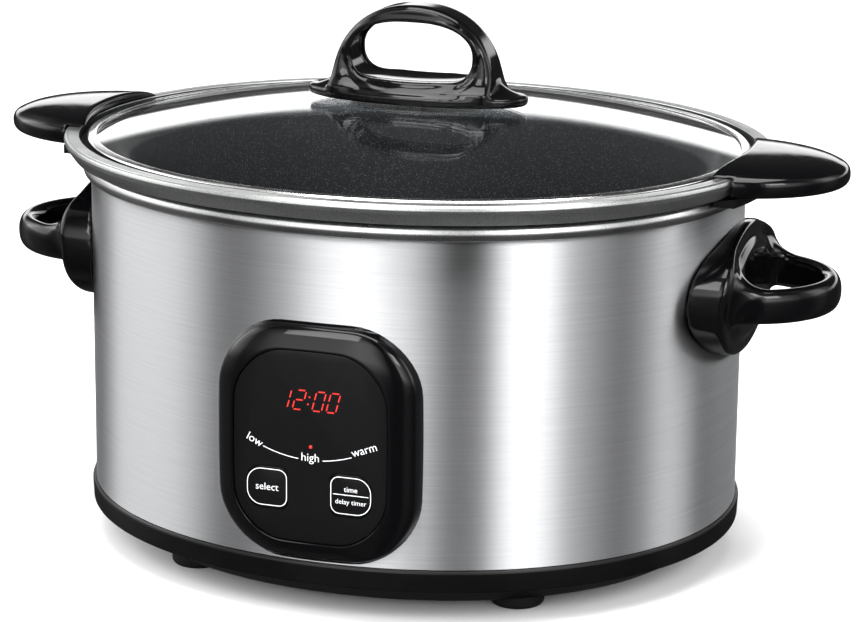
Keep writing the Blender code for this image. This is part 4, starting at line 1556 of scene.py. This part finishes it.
    def ink_line(self, name: str, points: Sequence[Flat], closed: bool, body: Body, depth: float) -> None:
        """Prints a line through points of the panel's plane.

        Args:
            name: The piece's name.
            points: The points.
            closed: Whether the line leads back to the first of them.
            body: The body that it moves with.
            depth: Its place along Y.
        """
        mesh = bpy.data.meshes.new(name)
        count = len(points)
        edges = [(number, (number + 1) % count) for number in range(count if closed else count - 1)]
        mesh.from_pydata([(x * MM, z * MM, 0.0) for x, z in points], edges, [])
        line = bpy.data.objects.new(name, mesh)
        bpy.context.scene.collection.objects.link(line)
        PrintLine.run(line, PRINT_INK, line_width=self.ink_wide * MM, relief=self.ink_relief)
        self.onto_panel(line, depth)
        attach(line, body.value)
        LOG.info("%s on %s", name, body.value)

    def ink_word(
        self, name: str, word: str, place: Flat, turn: float, size: float, body: Body, depth: float
    ) -> None:
        """Prints a word on the panel.

        Args:
            name: The piece's name.
            word: What it says.
            place: Its middle in the panel's plane.
            turn: Its turn in that plane, in degrees.
            size: The height of its letters' body.
            body: The body that it moves with.
            depth: Its place along Y.
        """
        curve = bpy.data.curves.new(name, "FONT")
        curve.body = word
        curve.size = size * MM
        curve.extrude = self.ink_thick * MM
        curve.offset = -0.006 * size * MM
        curve.resolution_u = 3
        curve.align_x = "CENTER"
        curve.align_y = "CENTER"
        helper = bpy.data.objects.new(name, curve)
        bpy.context.scene.collection.objects.link(helper)
        graph = bpy.context.evaluated_depsgraph_get()
        mesh = bpy.data.meshes.new_from_object(helper.evaluated_get(graph), depsgraph=graph)
        bpy.data.objects.remove(helper)
        spot = Matrix.Translation((place[0] * MM, place[1] * MM, 0.0))
        mesh.transform(spot @ Matrix.Rotation(math.radians(turn), 4, "Z"))
        made = bpy.data.objects.new(name, mesh)
        bpy.context.scene.collection.objects.link(made)
        dress(made, PRINT_INK)
        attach(self.onto_panel(made, depth), body.value)
        LOG.info("%s on %s", name, body.value)


@dataclass
class SideHandle:
    """A carrying handle: an oval plate against the wall, a step on it, and a looped grip out of it."""

    side: Side
    plate_half: Flat = (54.2, 31.4)
    plate_z: float = 141.0
    plate_face: float = 168.5
    step_half: Flat = (46.5, 25.0)
    step_face: float = 171.5
    loop_x: float = 165.0
    loop_reach: float = 42.6
    loop_half_width: float = 40.0
    loop_thick: float = 10.0
    loop_tall: float = 16.6
    loop_power: float = 2.3

    def field(self, x: np.ndarray, y: np.ndarray, z: np.ndarray) -> np.ndarray:
        """The distances of the whole handle, for the right-hand end.

        Args:
            x: The places' X.
            y: Their Y.
            z: Their Z.

        Returns:
            The distances, negative inside.
        """
        up = z - self.plate_z
        plate = soft_max(ellipse_distance(y, up, *self.plate_half), x - self.plate_face, 3.2)
        swell = np.maximum(1.0 - (y / self.step_half[0]) ** 2 - (up / self.step_half[1]) ** 2, 0.0)
        step_face = self.plate_face + (self.step_face - self.plate_face) * np.minimum(3.0 * swell, 1.0)
        step = soft_max(ellipse_distance(y, up, *self.step_half), x - step_face, 2.0)
        middle = ellipse_distance(x - self.loop_x, y, self.loop_reach, self.loop_half_width)
        across = middle / (self.loop_thick / 2)
        along = (z - self.plate_z - 0.2) / (self.loop_tall / 2)
        power = self.loop_power
        section = (np.abs(across) ** power + np.abs(along) ** power) ** (1 / power)
        loop = np.maximum((section - 1.0) * self.loop_thick / 2, self.loop_x - 4.0 - x)
        swoop = np.clip((up + 4.0) / 12.0, 0.0, 1.0)
        shape = soft_min(soft_min(plate, step, 0.8), loop, 4.0 + 11.0 * swoop)
        return soft_max(shape, -self.wall_distance(x, y), 0.6)

    def wall_distance(self, x: np.ndarray, y: np.ndarray) -> np.ndarray:
        """How far outside the wall, and the gap before it, each point is."""
        gap = 0.35
        return power_distance(x, y, WRAP.half_length + gap, WRAP.half_width + gap, WRAP.power)

    def build(self) -> None:
        """Casts the handle, and turns it round for the left end."""
        word = self.side.word
        space = (144.0, -60.0, 106.0), (216.0, 60.0, 177.0)
        handle = cast(f"carry_handle_{word}", self.field, *space, CELL, GLOSS_BLACK)
        if self.side is Side.LEFT:
            handle.data.transform(Matrix.Rotation(math.pi, 4, "Z"))
        ride(handle, Body.BASE, "gloss_black", f"side_handle_{word}")


@dataclass
class Pot:
    """The lift-out pot: a rolled rim with a flat top, a ledge for the lid, and a deep coated bowl."""

    bottom: float = 46.0
    wall: float = 2.4
    rim_top: float = 202.3
    rim_out: float = 13.0
    rim_in: float = 5.7
    ledge: float = 196.6

    def build(self) -> None:
        """Makes the pot in one mesh: metal lacquer outside and on the rim, non-stick inside."""
        out, top = self.rim_out, self.rim_top
        outer = [
            (-43.0, self.bottom, 0.0),
            (-28.0, self.bottom + 3.0, 9.0),
            (-23.0, self.bottom + 20.0, 10.0),
            (-17.0, 187.4, 4.0),
            (-14.0, 191.4, 2.0),
            (3.2, 191.4, 1.5),
            (8.6, 192.7, 0.7),
            (12.5, 198.2, 1.6),
            (out, 200.0, 1.2),
            (out - 0.5, 201.6, 1.0),
            (out - 1.5, top, 0.5),
            (out - 1.7, top - 0.45, 0.1),
            (out - 1.95, top, 0.0),
        ]
        inner = [
            (out - 1.95, top, 0.0),
            (self.rim_in, top, 0.7),
            (self.rim_in - 0.5, self.ledge, 1.2),
            (-13.0, self.ledge - 0.6, 5.0),
            (-19.4, self.ledge - 7.0, 5.0),
            (-25.4, self.bottom + 20.0, 12.0),
            (-30.0, self.bottom + self.wall + 3.2, 9.0),
            (-43.0, self.bottom + self.wall, 0.0),
        ]
        profile = [(0.0, 0.0, self.bottom), *rounded(outer, joined=False), *rounded(inner, joined=False)]
        profile.append((0.0, 0.0, self.bottom + self.wall))
        pot = loft("pot_bowl", profile, WRAP, POT_SKIN, steps=256, joined=False)
        pot.data.materials.append(NONSTICK.material())
        for polygon in pot.data.polygons:
            inward = Vector((polygon.center.x, polygon.center.y)).dot(polygon.normal.to_2d())
            under_rim = polygon.center.z < (self.rim_top - 0.8) * MM
            facing_in = inward < 0.0 or polygon.normal.z > 0.75
            if under_rim and facing_in:
                polygon.material_index = 1
        ride(pot, Body.POT, "nonstick", "pot")


@dataclass
class PotHandle:
    """A handle on the pot's rim: half of a crowned oval pad, scooped along the rim, and its bracket."""

    side: Side
    centre_x: float = 158.0
    reach: float = 56.5
    half_width: float = 47.6
    edge: float = 200.0
    crown: float = 208.4
    roll_top: float = 203.2
    bottom: float = 193.2
    scoop_out: float = 3.2
    bracket_low: float = 188.6
    bracket_out: float = 14.6
    bracket_half: float = 44.0
    rim_out: float = 13.35
    rim_top: float = 202.65

    def field(self, x: np.ndarray, y: np.ndarray, z: np.ndarray) -> np.ndarray:
        """The distances of the pad at the right-hand end: a rolled edge, and a crown just inside it.

        Args:
            x: The places' X.
            y: Their Y.
            z: Their Z.

        Returns:
            The distances, negative inside.
        """
        plan = ellipse_distance(x - self.centre_x, y, self.reach, self.half_width)
        roll = soft_max(plan, np.maximum(self.bottom - z, z - self.roll_top), 5.0)
        share = np.sqrt(((x - self.centre_x) / self.reach) ** 2 + (y / self.half_width) ** 2) / 0.97
        above = np.maximum(z - self.edge, 0.0) / (self.crown - self.edge)
        level = share**3.0 + above**2.3 - 1.0
        slopes = np.gradient(level, CELL)
        steep = np.sqrt(sum(slope**2 for slope in slopes))
        dome = np.maximum(level / np.maximum(steep, 0.012), self.edge - z)
        pad = soft_min(roll, dome, 0.6)
        outside = power_distance(x, y, WRAP.half_length, WRAP.half_width, WRAP.power)
        rim_room = np.minimum(self.rim_out - outside, self.rim_top - z)
        return np.maximum(soft_max(pad, self.scoop_out - outside, 1.6), rim_room)

    def build(self) -> None:
        """Casts the pad, and makes the bracket under it."""
        word = self.side.word
        space = (150.0, -50.0, 191.0), (217.0, 50.0, 214.0)
        pad = cast(f"pot_grip_{word}", self.field, *space, CELL, GLOSS_BLACK)
        if self.side is Side.LEFT:
            pad.data.transform(Matrix.Rotation(math.pi, 4, "Z"))
        ride(pad, Body.POT, "gloss_black", f"pot_handle_{word}")
        low, top = self.bracket_low, self.bottom - 0.35
        outer = self.bracket_out
        section = (
            (5.0, low + 0.3),
            (5.3, low),
            (outer - 0.3, low),
            (outer, low + 0.3),
            (outer, top),
            (13.7, top),
            (9.2, 192.0),
            (5.0, 191.1),
        )
        rings = []
        for step in range(49):
            y = self.bracket_half * (step / 24 - 1.0)
            rings.append([(self.side.value * WRAP.reach(y, out), y, z) for out, z in section])
        bracket = piece_from(f"pot_bracket_{word}", skin(rings, joined=False), SATIN_BLACK)
        ride(bracket, Body.POT, "satin_black", f"pot_clip_{word}")


@dataclass
class Lid:
    """The lid: a domed glass in a steel band, and its arched knob."""

    glass_in: float = 1.6
    edge: float = 201.2
    rise: float = 18.4
    thick: float = 3.4
    dome_power: float = 2.2
    band_out: float = 1.7
    band_in: float = 2.8
    band_low: float = 197.0
    band_top: float = 202.2
    knob_half: Flat = (56.0, 23.0)
    knob_bottom: float = 220.6
    knob_lip: float = 225.6
    knob_foot: float = 231.8
    knob_top: float = 267.4
    arch_out: float = 41.4
    arch_in: float = 32.6
    arch_inner_top: float = 261.0
    arch_inner_low: float = 225.4
    arch_depth: float = 11.0
    dish_half: Flat = (30.0, 17.0)
    dish_deep: float = 1.8
    plateau_half: Flat = (42.5, 17.0)
    plateau_flare: Flat = (9.0, 4.0)

    def build(self) -> None:
        """Makes the glass, the band and the knob."""
        self.make_glass()
        self.make_band()
        space = (-60.0, -26.0, 218.0), (60.0, 26.0, 270.0)
        knob = cast("knob_arched", self.knob_field, *space, CELL, GLOSS_BLACK)
        ride(knob, Body.LID, "gloss_black", "lid_knob")

    def make_glass(self) -> None:
        """A domed pane of even thickness with a ground edge and a hole for the knob's screw."""
        rows, hole_share = 22, 0.0265
        shares = [math.sin(math.pi / 2 * step / rows) for step in range(rows, 0, -1)] + [hole_share]
        out = -self.glass_in
        top = [(out, share, self.edge + self.rise * (1.0 - share**self.dome_power)) for share in shares]
        under = [(spot[0], spot[1], spot[2] - self.thick) for spot in reversed(top)]
        low, ground = self.edge - self.thick, 0.5
        profile = [(out - ground, 1.0, self.edge), *top[1:], *under[:-1], (out - ground, 1.0, low)]
        profile += [(out, 1.0, low + ground), (out, 1.0, self.edge - ground)]
        pane = loft("lid_pane", profile, WRAP, GLASS, steps=256)
        pane.visible_shadow = False
        ride(pane, Body.LID, "glass", "lid_glass")

    def make_band(self) -> None:
        """The rolled steel band that grips the glass, with a turned edge on it."""
        low, top, sheet = self.band_low, self.band_top, 0.5
        grip = 0.35 - self.glass_in
        corners = [
            (self.band_out, low + 0.6, 0.5),
            (self.band_out, top - 0.7, 0.6),
            (self.band_out - 0.9, top, 0.8),
            (-self.band_in + 0.8, top + 0.3, 0.8),
            (-self.band_in, top + 0.1, 0.2),
            (-self.band_in, top - 0.25, 0.1),
            (grip, top - 0.55, 0.0),
            (grip, low + sheet - 0.1, 0.0),
            (-self.band_in, low + sheet - 0.1, 0.0),
            (-self.band_in, low, 0.0),
            (self.band_out - 0.6, low, 0.3),
        ]
        band = loft("lid_ring", rounded(corners), WRAP, LID_STEEL, steps=256)
        ride(band, Body.LID, "spun_steel", "lid_band")

    def knob_field(self, x: np.ndarray, y: np.ndarray, z: np.ndarray) -> np.ndarray:
        """The distances of the knob: a rolled oval lip, a dished plateau on it, and the arch out of it.

        Args:
            x: The places' X.
            y: Their Y.
            z: Their Z.

        Returns:
            The distances, negative inside.
        """
        bottom, lip, flat_top = self.knob_bottom, self.knob_lip, self.knob_foot
        plan = power_distance(x, y, *self.knob_half, 2.0)
        foot = soft_max(plan, np.abs(z - (lip + bottom) / 2) - (lip - bottom) / 2, 1.9)
        narrow = np.clip(1.0 - (z - lip) / (flat_top - lip), 0.0, 1.2) ** 2
        halves = [half + flare * narrow for half, flare in zip(self.plateau_half, self.plateau_flare)]
        plateau = power_distance(x, y, *halves, 2.2)
        sag = 1.0 - (x / self.dish_half[0]) ** 2 - (y / self.dish_half[1]) ** 2
        dish = self.dish_deep * np.clip(sag, 0.0, 1.0)
        plateau = soft_max(plateau, np.maximum(z - flat_top + dish, bottom + 1.0 - z), 2.4)
        base = lip + 2.0
        up = np.maximum(z - base, 0.0)
        outer = power_distance(x, up, self.arch_out, self.knob_top - base, 2.15)
        tall = (self.arch_inner_top - self.arch_inner_low) / 2
        inner = power_distance(x, z - self.arch_inner_low - tall, self.arch_in, tall, 2.3)
        half_depth = self.arch_depth + 7.5 * np.exp(-up / 5.0)
        arch = soft_max(soft_max(outer, -inner, 3.4), np.abs(y) - half_depth, 5.5)
        edge_line = np.sqrt(inner**2 + (np.abs(y) - half_depth + 1.6) ** 2) - 1.7
        arch = np.maximum(soft_min(arch, edge_line, 1.0), bottom + 3.0 - z)
        return soft_min(soft_min(foot, plateau, 1.5), arch, 3.0)


@dataclass
class Fasteners:
    """Pan-head screws with a cross recess, set out in their seats."""

    head: float = 3.8
    head_tall: float = 2.6
    shank: float = 1.9

    def pattern(self, length: float) -> bpy.types.Object:
        """A screw whose head's seat is at the origin and whose shank runs up.

        Args:
            length: The shank's length.

        Returns:
            The pattern piece.
        """
        head, shank = self.head, self.shank
        section = [
            (0.0, -self.head_tall),
            (head * 0.5, -self.head_tall),
            (head * 0.85, -2.1),
            (head, -1.2),
            (head, 0.0),
            (shank, 0.0),
            (shank, length - 1.0),
            (0.0, length),
        ]
        screw = piece_from("screw_pattern", turned(section, ORIGIN, 20, along=2), SCREW_ZINC)
        bars = []
        for half_x, half_y in ((0.45, 1.9), (1.9, 0.45)):
            ring = [(half_x, half_y), (-half_x, half_y), (-half_x, -half_y), (half_x, -half_y)]
            bars.append(skin([[(x, y, z) for x, y in ring] for z in (-3.0, -1.4)], joined=False))
        return minus(screw, *bars)

    def build(self) -> None:
        """Sets the cover's screws, the side handles' and the pot handles'."""
        sets = (
            ("cover_screws", Body.BASE, 8.5, "base_screw_{row}_{side}", 2, 0.0),
            ("handle_screws", Body.BASE, 12.5, "side_screw_{side}_{row}", 0, 0.0),
            ("grip_screws", Body.POT, 8.0, "pot_screw_{side}_{row}", 2, 7.4),
        )
        for name, body, length, form, axis, sunk in sets:
            places, nodes = [], []
            for side in Side:
                for row in ("front", "rear"):
                    node = form.format(row=row, side=side.word)
                    low, high = span(node)
                    spot = [(a + b) / 2 for a, b in zip(low, high)]
                    inner = low if axis == 2 or side is Side.RIGHT else high
                    inward = 1.0 if axis == 2 else side.value
                    spot[axis] = inner[axis] + self.head_tall * inward + sunk
                    turn = ORIGIN if axis == 2 else (0.0, math.pi / 2 * side.value, 0.0)
                    places.append((tuple(spot), turn))
                    nodes.append(node)
            screws = set_out(name, self.pattern(length), places, SCREW_ZINC)
            ride(screws, body, "galvanised", *nodes)


@dataclass
class Gland:
    """The cord's gland at the back: a collared bushing with grip ribs round it."""

    place: Point = (0.0, 142.0, 44.0)
    bore: float = 4.0
    neck: float = 7.4
    collar: float = 11.0
    ribs: int = 24

    def build(self) -> None:
        """Makes the bushing and its ribs."""
        bore, neck, collar = self.bore, self.neck, self.collar
        section = [
            (bore, -8.0),
            (neck, -8.0),
            (neck, 1.0),
            (collar - 0.6, 1.0),
            (collar, 1.6),
            (collar, 3.2),
            (collar - 1.0, 4.0),
            (neck, 4.1),
            (neck - 0.6, 5.0),
            (bore + 0.5, 5.0),
            (bore, 4.5),
        ]
        bush = piece_from("cord_bushing", turned(section, self.place, steps=64), SATIN_BLACK)
        ride(bush, Body.BASE, "satin_black", "cord_gland")
        shape = outline((0.5, 1.0), (0.4,) * 4)
        data = skin([[(x, y, z) for x, z in shape] for y in (1.4, 3.3)], joined=False)
        rib = piece_from("grip_pattern", data, SATIN_BLACK)
        places = []
        for step in range(self.ribs):
            angle = math.tau * step / self.ribs
            x, z = math.cos(angle) * (collar - 0.5), math.sin(angle) * (collar - 0.5)
            spot = (x + self.place[0], self.place[1], z + self.place[2])
            places.append((spot, (0.0, math.pi / 2 - angle, 0.0)))
        ride(set_out("bushing_ribs", rib, places, SATIN_BLACK), Body.BASE, "satin_black")


@dataclass
class InnerWorks:
    """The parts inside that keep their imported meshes, and get real materials."""

    frame: dict[str, Any]

    def build(self) -> None:
        """Gives each kept node its finish."""
        finishes = {
            ZINC: ("heater_band", "pot_sensor"),
            FELT: ("insulation_band", "heater_lead_front", "heater_lead_rear", "thermal_fuse"),
            LAMINATE: ("control_board", "power_board"),
            GREY_NYLON: ("transformer", "terminal_block", "switch_select", "switch_timer"),
            SATIN_BLACK: ("power_relay", "base_cover"),
            DIODE: ("display_module", "led_low", "led_high", "led_warm"),
            SILICONE: ("knob_gasket",),
            LID_STEEL: ("knob_washer",),
            SCREW_ZINC: ("knob_screw",),
        }
        for finish, nodes in finishes.items():
            for node in nodes:
                mesh = self.frame["nodes"][node].data
                mesh.materials.clear()
                mesh.materials.append(finish.material())
            LOG.info("%s on %s", finish.name, ", ".join(nodes))


# The studio --------------------------------------------------------------------------------------------


@dataclass(frozen=True)
class StudioFloor(Finish):
    """Seamless white paper: matt, with a fine tooth."""

    tooth_mm: float = 1.2

    def paint(self, tree: bpy.types.NodeTree, shader: Any) -> None:
        """Paper tooth in relief."""
        self.emboss(tree, shader, self.grain(tree, (self.tooth_mm,) * 3), 0.01, 0.2)


@dataclass
class Studio:
    """A pale floor, soft lights and the camera.

    The world's brightness is a ring by bearing times a rise by elevation, and behind the object a strip low
    over the table takes their place, as far as the rear stops say. All are stops of (degrees, brightness).
    """

    camera_place: Point = (0.46903, -1.37479, 0.49876)
    camera_turn: Point = (75.37621, -0.60115, 18.68311)
    lens_mm: float = 125.84
    lens_shift: float = -0.01525
    world_strength: float = 5.8
    ring: tuple[Flat, ...] = (
        (-180.0, 0.05),
        (-142.0, 0.05),
        (-128.0, 0.14),
        (-114.0, 0.5),
        (-106.0, 1.0),
        (-94.0, 0.78),
        (-72.0, 0.72),
        (-60.0, 0.36),
        (-54.0, 0.1),
        (-44.0, 0.14),
        (-28.0, 0.46),
        (-4.0, 0.86),
        (6.0, 0.76),
        (14.0, 0.3),
        (20.0, 0.0),
        (32.0, 0.02),
        (38.0, 1.0),
        (46.0, 0.92),
        (58.0, 0.56),
        (84.0, 0.12),
        (96.0, 0.22),
        (108.0, 0.72),
        (120.0, 0.62),
        (128.0, 0.24),
        (150.0, 0.22),
        (180.0, 0.05),
    )
    rise: tuple[Flat, ...] = (
        (-90.0, 0.02),
        (-30.0, 0.03),
        (-4.0, 0.07),
        (6.0, 0.2),
        (14.0, 1.0),
        (34.0, 1.0),
        (46.0, 0.16),
        (90.0, 0.1),
    )
    strip: tuple[Flat, ...] = (
        (-90.0, 0.005),
        (4.2, 0.01),
        (6.0, 0.48),
        (12.5, 0.48),
        (15.0, 0.01),
        (90.0, 0.005),
    )
    rear: tuple[Flat, ...] = (
        (-180.0, 1.0),
        (-140.0, 1.0),
        (-120.0, 0.0),
        (125.0, 0.0),
        (145.0, 1.0),
        (180.0, 1.0),
    )

    def build(self) -> None:
        """Makes the floor, the world, the lights and the camera."""
        self.make_floor()
        self.make_world()
        self.light("light_top", (0.0, -0.2, 2.4), ORIGIN, 1.7, 85.0)
        self.light("light_front", (-0.5, -1.7, 1.9), (0.0, 0.0, 0.15), 0.8, 22.0)
        self.light("light_side", (1.5, -1.2, 1.5), (0.0, 0.0, 0.15), 0.6, 14.0)
        self.make_camera()
        scene = bpy.context.scene
        scene.view_settings.view_transform = "Standard"
        scene.view_settings.look = "None"

    def make_floor(self) -> None:
        """A wide sheet of paper under the object."""
        half = 14.0
        mesh = bpy.data.meshes.new("studio_floor")
        corners = [(-half, -half, 0.0), (half, -half, 0.0), (half, half, 0.0), (-half, half, 0.0)]
        mesh.from_pydata(corners, [], [(0, 1, 2, 3)])
        floor = bpy.data.objects.new("studio_floor", mesh)
        bpy.context.scene.collection.objects.link(floor)
        mesh.materials.append(StudioFloor("paper_seamless_white", "#F4F4F4", 0.9).material())
        floor.visible_glossy = False

    def make_world(self) -> None:
        """Soft boxes all round, drawn in the world: a brightness for each bearing and each elevation."""
        world = bpy.data.worlds.new("studio_world")
        world.use_nodes = True
        tree = world.node_tree
        ray = add_node(tree, "ShaderNodeTexCoord").outputs["Generated"]
        parts = add_node(tree, "ShaderNodeSeparateXYZ", {"Vector": ray})
        known = {axis: parts.outputs[axis] for axis in "XYZ"}
        angles = (
            ("front", "MULTIPLY", "Y", -1.0),
            ("bearing", "ARCTAN2", "X", "front"),
            ("round", "DIVIDE", "bearing", math.tau),
            ("turn", "ADD", "round", 0.5),
            ("elevation", "ARCSINE", "Z"),
            ("tilt", "DIVIDE", "elevation", math.pi),
            ("height", "ADD", "tilt", 0.5),
        )
        work_out(tree, known, angles)
        ramps = (
            ("ring", "turn", 360.0, self.ring),
            ("rear", "turn", 360.0, self.rear),
            ("rise", "height", 180.0, self.rise),
            ("strip", "height", 180.0, self.strip),
        )
        for name, way, whole, stops in ramps:
            shares = [(degrees / whole + 0.5, level) for degrees, level in stops]
            known[name] = self.ramp(tree, known[way], shares)
        levels = (
            ("boxes", "MULTIPLY", "ring", "rise"),
            ("ahead", "SUBTRACT", 1.0, "rear"),
            ("boxes_ahead", "MULTIPLY", "boxes", "ahead"),
            ("strip_behind", "MULTIPLY", "strip", "rear"),
            ("level", "ADD", "boxes_ahead", "strip_behind"),
        )
        work_out(tree, known, levels)
        back = tree.nodes["Background"]
        tree.links.new(known["level"], back.inputs["Color"])
        back.inputs["Strength"].default_value = self.world_strength
        bpy.context.scene.world = world

    def ramp(self, tree: bpy.types.NodeTree, value: Any, stops: Sequence[Flat]) -> Any:
        """A brightness that goes straight from stop to stop.

        Args:
            tree: The world's tree.
            value: The socket with the place, from 0 to 1.
            stops: Each stop's place and brightness.

        Returns:
            The socket of the brightness.
        """
        made = add_node(tree, "ShaderNodeValToRGB", {"Fac": value})
        elements = made.color_ramp.elements
        for _ in stops[2:]:
            elements.new(0.5)
        for element, (place, level) in zip(elements, stops):
            element.position = place
            element.color = (level, level, level, 1.0)
        return made.outputs["Color"]

    def light(self, name: str, place: Point, target: Point, size: float, power: float) -> None:
        """Puts up a square soft box.

        Args:
            name: The light's name.
            place: Where it hangs, in metres.
            target: Where it points.
            size: Its side.
            power: Its power in watts.
        """
        data = bpy.data.lights.new(name, "AREA")
        data.size = size
        data.energy = power
        lamp = bpy.data.objects.new(name, data)
        lamp.location = place
        lamp.rotation_euler = (Vector(target) - Vector(place)).to_track_quat("-Z", "Y").to_euler()
        bpy.context.scene.collection.objects.link(lamp)

    def make_camera(self) -> None:
        """The camera, a little above and to the right of the front, with a long lens."""
        data = bpy.data.cameras.new("studio_camera")
        data.lens = self.lens_mm
        data.sensor_width = 36.0
        data.shift_y = self.lens_shift
        data.clip_end = 60.0
        camera = bpy.data.objects.new("studio_camera", data)
        camera.location = self.camera_place
        camera.rotation_euler = [math.radians(angle) for angle in self.camera_turn]
        bpy.context.scene.collection.objects.link(camera)
        bpy.context.scene.camera = camera


def main() -> None:
    """Builds the object round its frame, then the studio."""
    logging.basicConfig(level=logging.INFO, format="%(name)s: %(message)s")
    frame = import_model()
    parts = (
        Housing(),
        BaseMoulding(),
        ControlPanel(),
        SideHandle(Side.LEFT),
        SideHandle(Side.RIGHT),
        Gland(),
        Pot(),
        PotHandle(Side.LEFT),
        PotHandle(Side.RIGHT),
        Lid(),
        Fasteners(),
        InnerWorks(frame),
        Studio(),
    )
    for part in parts:
        part.build()
        LOG.info("%s is built", type(part).__name__)


if __name__ == "__main__":
    main()
